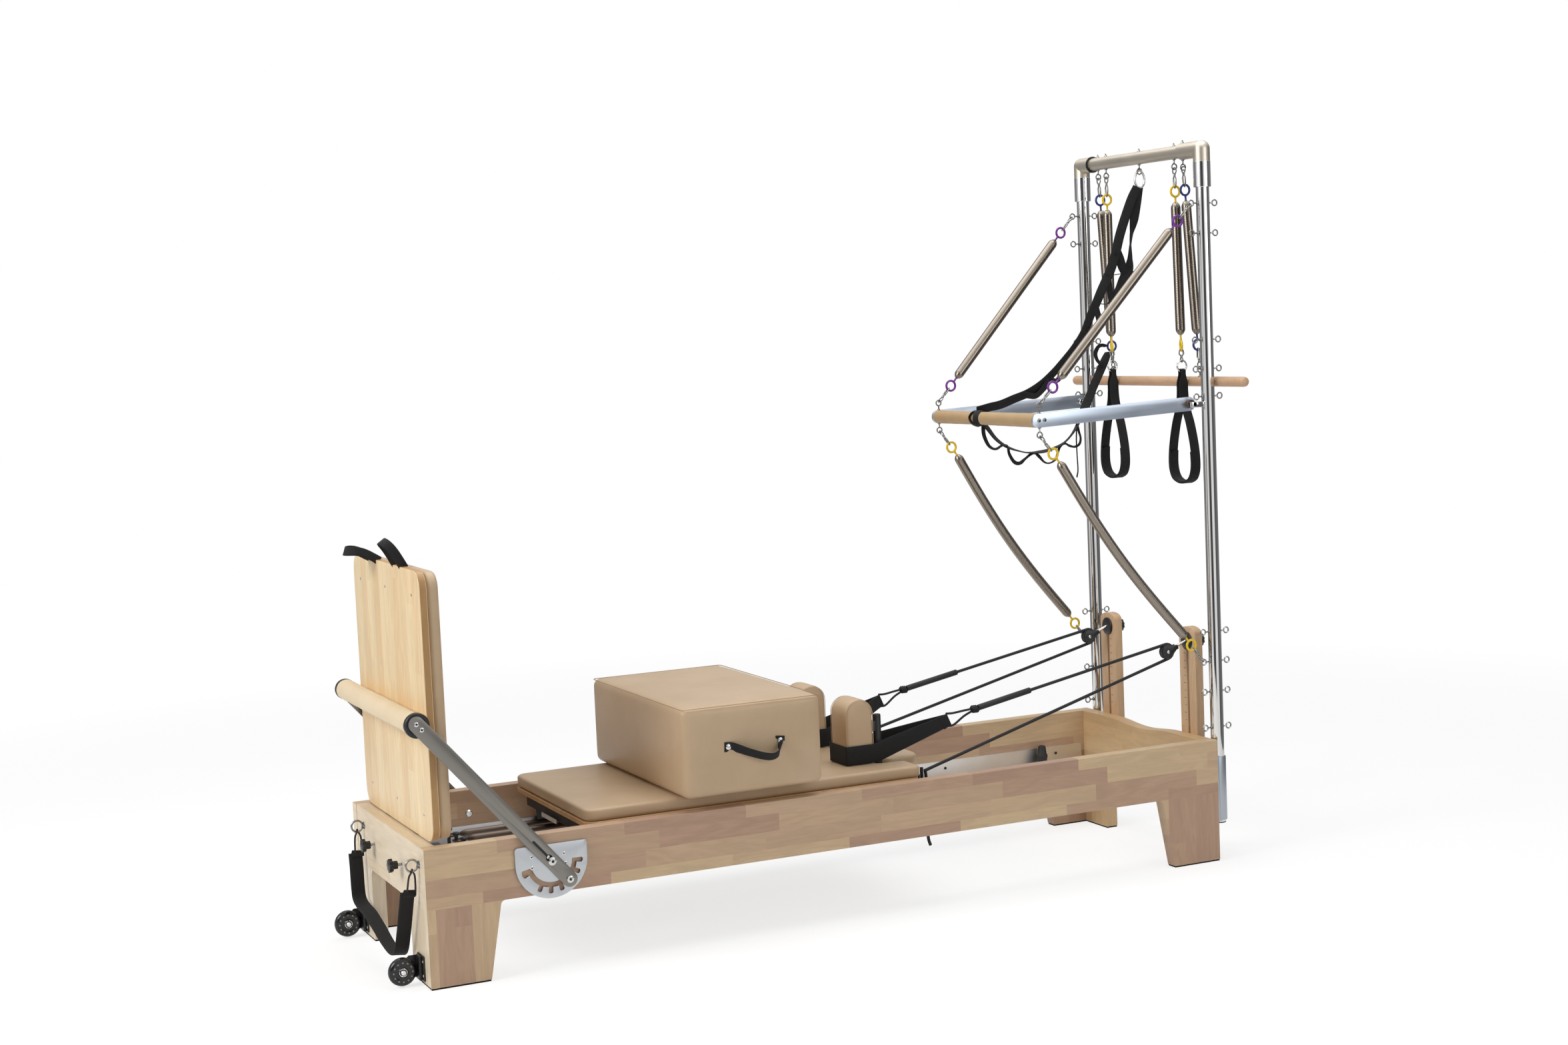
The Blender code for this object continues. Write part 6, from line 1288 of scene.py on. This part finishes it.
def hung_spring(name, start, end, first, last, colours, stands_for, sag=0.0, hooks=(0.052, 0.052),
                face=(0, 1, 0)):
    """first and last are the bodies at start and end; the wound part bends between them."""
    start, end = Vector(start), Vector(end)
    way = (end - start).normalized()
    ring_a, ring_b = start + way * (hooks[0] + 0.0150), end - way * (hooks[1] + 0.0150)
    body_a, body_b = ring_a + way * 0.0310, ring_b - way * 0.0310
    down = Vector((-way.z, 0, way.x))
    down = down if down.z <= 0 else -down
    line = [body_a.lerp(body_b, i / 24) + down * sag * sin(pi * i / 24) for i in range(25)]
    wound = coil(line, 0.014, 0.0027, 0.017)
    piece = settle(name, wound, None, spring_steel, stands_for, 60)
    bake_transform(piece)
    for eye, ring, out, body, colour, tag, look in ((start, ring_a, way, first, colours[0], "_start",
                                                     Vector((0, 1, 0))),
                                                    (end, ring_b, -way, last, colours[1], "_end",
                                                     Vector(face))):
        settle(name + tag + "_hook", snap_hook(eye, ring, out, look), body, zinc)
        neck = turned([(0, 0), (0.0042, 0), (0.0034, 0.0030), (0.0028, 0.0070), (0.0028, 0.0140),
                       (0.0046, 0.0190), (0, 0.0195)],
                      ring + out * 0.0150, out, 20)
        settle(name + tag + "_ring", [hoop(ring, look, 0.0150, 0.0033, 40, 12), neck], body,
               colour)


for side, tag in SIDES:
    for level, height, sag, colour in ((1, EYE_HEIGHTS[0], 0.0, purple), (-1, EYE_HEIGHTS[6], 0.020, yellow)):
        word = "upper" if level > 0 else "lower"
        hung_spring(f"push_spring_{word}_wound_{tag}",
                    (PUSH.x + 0.003, side * 0.290, PUSH.z + level * 0.0412),
                    (TOWER_X - TUBE - SHANK - RING, side * TOWER_HALF, height), "push_bar", "frame",
                    (colour, colour), f"push_spring_{word}_{tag}", sag)
HOOK_Z = TOWER_TOP - TUBE - SHANK - RING
ROLL_AT = (2.418, 1.385)
HANG_AT = (2.386, 1.440)
ROLL_EYE_Y, LOOP_Y = 0.228, 0.184
for side, tag in SIDES:
    hung_spring("leg_spring_wound_" + tag, (TOWER_X, side * LEG_HOOK_Y, HOOK_Z),
                (ROLL_AT[0], side * ROLL_EYE_Y, ROLL_AT[1] + 0.0145 + SHANK + RING), "frame", "roll_bar",
                (navy, navy), "leg_spring_" + tag, hooks=(0.055, 0.056))
    hung_spring("arm_spring_wound_" + tag, (TOWER_X, side * ARM_HOOK_Y, HOOK_Z),
                (HANG_AT[0], side * LOOP_Y, HANG_AT[1]), "frame", "loop_" + tag, (yellow, yellow),
                "arm_spring_" + tag, hooks=(0.056, 0.036), face=(0.906, -0.423, 0))

# Roll-down bar
# A turned hardwood dowel with rounded ends, hung from the leg springs by two eye screws.
# Maple sealed with oil: fine grain, a mild shine.
dowel_wood = lacquered_wood("maple_dowel", 1, 0, "DDB793", "D2A985", stave=(1.2, 0.5), gloss=0.36)
profile = [(0, -0.45), (0.0072, -0.4497), (0.0114, -0.4478), (0.0137, -0.4440), (0.0145, -0.4380),
           (0.0145, 0.4380), (0.0137, 0.4440), (0.0114, 0.4478), (0.0072, 0.4497), (0, 0.45)]
settle("roll_bar_dowel", turned(profile, (ROLL_AT[0], 0, ROLL_AT[1]), (0, 1, 0), 40), "roll_bar",
       dowel_wood, "roll_down_bar")
eyes = []
for side in (-1, 1):
    eyes += eyebolt((ROLL_AT[0], side * ROLL_EYE_Y, ROLL_AT[1] + 0.0142), (0, 0, 1))
settle("roll_bar_eyes", eyes, "roll_bar", zinc)

# Loop handles
# Black webbing doubled through a chrome ring, spreading to a wide soft loop at the bottom.
for side, tag in SIDES:
    x, y = HANG_AT[0], side * LOOP_Y
    ring_top = HANG_AT[1] + SEAT + 0.0046
    ring = hoop((x, y, ring_top - 0.016), (0, 1, 0), 0.016, 0.0025, 40, 12)
    settle("loop_ring_" + tag, ring, "loop_" + tag, chrome)
    top = ring_top - 0.032
    half_way = [(0.0085, top + 0.0020), (0.0070, top - 0.020), (0.0065, top - 0.060), (0.0130, top - 0.100),
                (0.0340, top - 0.150), (0.0500, top - 0.205), (0.0572, top - 0.250), (0.0560, top - 0.286),
                (0.0430, top - 0.312), (0.0200, top - 0.3235)]
    points = [(x, y - u, v) for u, v in half_way] + [(x, y, top - 0.3260)]
    points += [(x, y + u, v) for u, v in reversed(half_way)]
    line = flowing(points, 6)
    cloth = woven(line, (1, 0, 0), band_section(0.031, 0.0030))
    for vert in cloth.verts:
        fold = min(max((top - 0.004 - vert.co.z) / 0.034, 0), 1)
        vert.co.x = x + (vert.co.x - x) * (0.48 + 0.52 * fold * fold * (3 - 2 * fold))
    settle("loop_webbing_" + tag, cloth, "loop_" + tag, webbing, "loop_handle_" + tag)
    seat_line = flowing([(x, y - 0.0085, top + 0.0020), (x, y - 0.0060, top + 0.0055), (x, y, top + 0.0068),
                         (x, y + 0.0060, top + 0.0055), (x, y + 0.0085, top + 0.0020)], 5)
    settle("loop_seat_" + tag, woven(seat_line, (1, 0, 0), band_section(0.0148, 0.0028)), "loop_" + tag,
           webbing)
    grip_line = [p for p in line if p.z < top - 0.235]
    grip = woven([(p.x, y + (p.y - y) * 0.945, p.z + 0.0032) for p in grip_line], (1, 0, 0),
                 band_section(0.0315, 0.0070))
    settle("loop_grip_" + tag, grip, "loop_" + tag, webbing)

# Safety strap
# A black daisy-chain webbing strap: a carabiner holds it to the top bar's middle eye, it is wound round the
# push-through handle, and its slack hangs on to the far leg spring's ring.
HANDLE_Y = 0.045
STRAP_FACE = Vector((0.415, 0.906, -0.087))        # where the untwisted strap's flat side looks


def hung_strap(spots, far, turns, width, start=(TOWER_X, 0.0)):
    """A strap hung through (x, z) spots over a plan line from start to far; it lies flat at turn 0."""
    lean = (far[1] - start[1]) / (far[0] - start[0])
    line = flowing([(x, start[1] + (x - start[0]) * lean, z) for x, z in spots], 5)
    across = []
    for i, p in enumerate(line):
        way = (line[min(i + 1, len(line) - 1)] - line[max(i - 1, 0)]).normalized()
        flat = way.cross(STRAP_FACE).normalized()
        where = i / (len(line) - 1) * (len(turns) - 1)
        k = min(int(where), len(turns) - 2)
        turn = turns[k] + (turns[k + 1] - turns[k]) * (where - k)
        across.append(flat * cos(turn) + flat.cross(way) * sin(turn))
    return woven(line, across, band_section(width, 0.0026))


handle, far_ring = (PUSH.x, HANDLE_Y), (2.402, 0.228)
main = [(2.374, 1.962), (2.354, 1.929), (2.331, 1.876), (2.311, 1.824), (2.297, 1.777), (2.283, 1.737),
        (2.265, 1.699), (2.244, 1.661), (2.225, 1.624), (2.204, 1.586), (2.183, 1.541), (2.150, 1.497),
        (2.111, 1.457), (2.073, 1.422), (2.035, 1.393), (1.991, 1.370), (1.947, 1.356), (1.904, 1.342),
        (1.867, 1.336), (1.826, 1.3275)]
chain = [(2.377, 1.962), (2.369, 1.917), (2.360, 1.870), (2.350, 1.829), (2.345, 1.794), (2.342, 1.752),
         (2.336, 1.720), (2.318, 1.691), (2.305, 1.662), (2.288, 1.636), (2.277, 1.616)]
strands = [hung_strap(main, handle, (0.1, 0.0, 0.1, 0.0, 0.4, 0.6, 0.7, 0.6, 0.5, 0.6), 0.028),
           hung_strap(chain, handle, (0.1, 0.1, 0.35, 1.1, 1.3, 0.9, 0.2, 0.0, 0.0, 0.0, 0.1), 0.029)]
for spots, turns, width in (
        ([(2.302, 1.775), (2.308, 1.755), (2.314, 1.733), (2.326, 1.713), (2.352, 1.700)],
         (0.6, 0.2, 0.0, 0.0), 0.027),
        ([(2.270, 1.690), (2.271, 1.665), (2.275, 1.640), (2.279, 1.616)], (0.6, 0.3, 0.2), 0.020),
        ([(2.222, 1.628), (2.227, 1.600), (2.234, 1.575), (2.231, 1.556), (2.213, 1.547), (2.190, 1.548)],
         (0.5, 0.3, 0.2, 0.9, 1.5), 0.020),
        ([(2.176, 1.536), (2.172, 1.514), (2.167, 1.498), (2.150, 1.486)], (0.3, 0.3, 0.9), 0.017),
        ([(2.150, 1.480), (2.128, 1.458), (2.108, 1.438), (2.100, 1.415), (2.084, 1.402), (2.063, 1.411)],
         (0.2, 0.1, 0.6, 1.0), 0.019),
        ([(2.066, 1.408), (2.046, 1.384), (2.020, 1.362), (1.997, 1.363), (1.972, 1.367), (1.930, 1.352)],
         (0.6, 0.9, 0.8, 1.1), 0.024),
        ([(2.262, 1.7075), (2.288, 1.7065), (2.312, 1.7085)], (1.5, 1.5), 0.005),
        ([(2.232, 1.6230), (2.256, 1.6210), (2.278, 1.6235)], (1.5, 1.5), 0.005)):
    strands.append(hung_strap(spots, handle, turns, width))
strap = settle("safety_strap_band", strands, None, webbing, "safety_strap")
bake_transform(strap)
wraps = []
for low_y, front_y, top_y in ((0.044, 0.064, 0.050), (0.036, 0.020, 0.040)):
    turn_round = []
    for a in range(40, 401, 12):
        front = max(0.0, cos(radians(a - 175)))
        under = max(0.0, cos(radians(a - 265)))
        y = top_y + (front_y - top_y) * front + (low_y - top_y) * under
        turn_round.append((PUSH.x + 0.0222 * cos(radians(a)), y, PUSH.z + 0.0222 * sin(radians(a))))
    wraps.append(woven(turn_round, (0, 1, 0), band_section(0.022, 0.0028)))
settle("safety_strap_wrap", wraps, "push_bar", webbing)
slack = [(1.846, 1.296), (1.870, 1.271), (1.900, 1.241), (1.939, 1.217), (1.989, 1.200), (2.037, 1.190),
         (2.090, 1.189), (2.144, 1.196), (2.190, 1.210), (2.220, 1.228), (2.240, 1.246), (2.255, 1.265),
         (2.278, 1.299), (2.301, 1.329), (2.328, 1.371), (2.360, 1.416), (2.383, 1.448), (2.399, 1.474)]
wavy = [(1.850, 1.291), (1.850, 1.258), (1.868, 1.225), (1.895, 1.212), (1.924, 1.219), (1.946, 1.215),
        (1.953, 1.192), (1.972, 1.168), (1.996, 1.163), (2.020, 1.174), (2.053, 1.187), (2.077, 1.177),
        (2.101, 1.158), (2.125, 1.153), (2.150, 1.163), (2.169, 1.196), (2.190, 1.206), (2.214, 1.198),
        (2.237, 1.194), (2.257, 1.201), (2.263, 1.218), (2.256, 1.239), (2.250, 1.258)]
slack_turns = (0.9, 1.0, 1.1, 1.2, 1.4, 1.45, 1.2, 1.3, 1.5, 1.5, 1.4, 1.3, 0.6, 0.1, 0.0, 0.1, 0.3, 1.0)
wavy_turns = (0.8, 0.9, 1.35, 1.1, 0.8, 1.35, 0.9, 1.45, 1.35, 1.1, 1.25, 1.45, 1.3)
ring_loop = [(2.394, 1.492), (2.372, 1.495), (2.355, 1.490), (2.342, 1.473), (2.349, 1.452), (2.371, 1.434)]
tail = [(2.249, 1.262), (2.244, 1.217), (2.245, 1.173), (2.247, 1.123), (2.241, 1.100)]
hanging = [hung_strap(spots, far_ring, turns, width, handle) for spots, turns, width in (
    (slack, slack_turns, 0.026), (wavy, wavy_turns, 0.018), (ring_loop, (1.3, 1.0, 0.7, 0.8, 0.9), 0.018),
    (tail, (1.2, 1.3, 1.2), 0.011))]
loose = settle("safety_strap_slack", hanging, None, webbing)
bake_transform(loose)
link = []
for i in range(40):
    a = 2 * pi * i / 40
    out = 0.0138 * sin(a) * (1 - 0.16 * cos(a))
    link.append((TOWER_X + 0.88 * out, -0.47 * out, HOOK_Z - 0.0220 + 0.0252 * cos(a)))
settle("safety_strap_hook", [bent(link, 0.0031, 12, closed=True)], "frame", plated_steel)

# Studio
# A white paper floor; a big soft lamp on the left, one above and a weak one in front. Dark cards that only
# bright metal sees give it its streaks, and beyond the paper it sees them below the horizon too.
# Matt white paper. To the eye it glows up to white further off; to metal it glows less there.
paper = blank("white_paper")
spot = add(paper, "TexCoord").outputs["Object"]
grain = add(paper, "TexNoise", {"Vector": spot, "Scale": 40.0, "Detail": 2.0})
away = add(paper, "VectorMath", {0: spot}, operation="LENGTH").outputs["Value"]
away = add(paper, "MapRange", {"Value": away, "From Min": 2.2, "From Max": 5.0})
kind = add(paper, "LightPath")
seen_tone = add(paper, "MapRange", {"Value": away, "To Min": 0.36, "To Max": 0.0})
tone = add(paper, "Mix", {0: kind.outputs["Is Camera Ray"], 2: 0.80, 3: seen_tone})
seen_glow = add(paper, "MapRange", {"Value": away, "To Min": 0.73, "To Max": 1.0})
metal_glow = add(paper, "MapRange", {"Value": away, "To Min": 0.38, "To Max": 0.08})
metal_glow = add(paper, "Math", {0: kind.outputs["Is Glossy Ray"], 1: metal_glow}, operation="MULTIPLY")
glow = add(paper, "Mix", {0: kind.outputs["Is Camera Ray"], 2: metal_glow, 3: seen_glow})
matt = add(paper, "BsdfPrincipled", {"Base Color": tone, "Specular IOR Level": 0.0, "Roughness": add(
    paper, "MapRange", {"Value": grain, "To Min": 0.78, "To Max": 0.86})})
paper_light = add(paper, "AddShader", {0: matt, 1: add(paper, "Emission", {1: glow})})
past = add(paper, "Math", {0: away, 1: 0.25}, operation="GREATER_THAN")
past = add(paper, "Math", {0: kind.outputs["Is Glossy Ray"], 1: past}, operation="MULTIPLY")
add(paper, "OutputMaterial", {"Surface": add(paper, "MixShader", {0: past, 1: paper_light, 2: add(
    paper, "BsdfTransparent")})})
sweep = bmesh.new()
bmesh.ops.create_grid(sweep, x_segments=1, y_segments=1, size=60)
floor_mesh = bpy.data.meshes.new("floor")
sweep.to_mesh(floor_mesh)
sweep.free()
floor_mesh.materials.append(paper)
ground = bpy.data.objects.new("floor", floor_mesh)
bpy.context.scene.collection.objects.link(ground)
ground.location.z = -0.0005

world = bpy.data.worlds.new("studio")
bpy.context.scene.world = world
world.use_nodes = True
world.node_tree.nodes.clear()
way = add(world, "SeparateXYZ", {0: add(world, "TexCoord").outputs["Generated"]}).outputs
bearing = add(world, "Math", {0: way[1], 1: way[0]}, operation="ARCTAN2")
bearing = add(world, "Math", {0: bearing, 1: 0.5 / pi, 2: 0.5}, operation="MULTIPLY_ADD")
cards = add(world, "ValToRGB", {0: bearing})
# Where each card starts round the horizon, and how bright it is.
stops = ((0.0, 0.85), (0.05, 0.95), (0.075, 0.9), (0.10, 0.10), (0.165, 0.06), (0.19, 0.2), (0.205, 1.0),
         (0.28, 1.0), (0.305, 0.9), (0.32, 0.12), (0.40, 0.16), (0.50, 0.22), (0.60, 0.35), (0.682, 0.5),
         (0.75, 0.35), (0.84, 0.25), (0.90, 0.3), (0.925, 0.8), (0.96, 0.9), (1.0, 0.85))
for place, grey in stops[1:-1]:
    cards.color_ramp.elements.new(place)
for element, (place, grey) in zip(cards.color_ramp.elements, stops):
    element.position = place
    element.color = (grey, grey, grey * 1.03, 1.0)
high = add(world, "MapRange", {"Value": way[2], "From Min": 0.35, "From Max": 0.6})
cards = add(world, "Mix", {0: high, 6: cards, 7: (1.0, 1.0, 1.0, 1.0)}, data_type="RGBA").outputs[2]
kind = add(world, "LightPath")
mirrored = add(world, "Math", {0: kind.outputs["Is Glossy Ray"], 1: kind.outputs["Is Transmission Ray"]},
               operation="MAXIMUM")
light = add(world, "Mix", {0: mirrored, 6: (0.232, 0.240, 0.250, 1.0), 7: cards}, data_type="RGBA").outputs[2]
light = add(world, "Mix", {0: kind.outputs["Is Camera Ray"], 6: light, 7: (1.0, 1.0, 1.0, 1.0)},
            data_type="RGBA").outputs[2]
add(world, "OutputWorld", {0: add(world, "Background", {0: light, 1: 1.0})})


def soft_box(name, place, aim, width, height, power, tint=(1.0, 1.0, 1.0)):
    """A lamp behind a cloth diffuser, turned to what it lights."""
    lamp = bpy.data.lights.new(name, "AREA")
    lamp.shape = "RECTANGLE"
    lamp.size, lamp.size_y = width, height
    lamp.energy = power
    lamp.color = tint
    holder = bpy.data.objects.new(name, lamp)
    bpy.context.scene.collection.objects.link(holder)
    holder.location = place
    holder.rotation_euler = (Vector(aim) - Vector(place)).to_track_quat("-Z", "Y").to_euler()


soft_box("key", (-4.9, -0.75, 3.3), (0, 0, 0.6), 2.4, 2.4, 146, (1.0, 0.98, 0.95))
soft_box("top", (0.4, 0.3, 4.6), (0, 0, 0.5), 4.5, 3.0, 104)
soft_box("front_fill", (2.6, -5.0, 2.2), (0.3, 0, 0.6), 3.0, 2.0, 52)

camera = bpy.data.cameras.new("camera")
camera.lens = 52.596
camera.sensor_fit = "HORIZONTAL"
camera.sensor_width = 36.0
eye = bpy.data.objects.new("camera", camera)
bpy.context.scene.collection.objects.link(eye)
RIGHT = (0.906762, -0.419379, -0.043638)
UP = (0.076115, 0.061014, 0.995231)
FORWARD = (0.414717, 0.905758, -0.087246)
rows = [(RIGHT[i], UP[i], -FORWARD[i], spot) for i, spot in enumerate((-2.64391, -5.77715, 1.61034))]
eye.matrix_world = Matrix((*rows, (0, 0, 0, 1)))
bpy.context.scene.camera = eye
bpy.context.scene.view_settings.view_transform = "Standard"
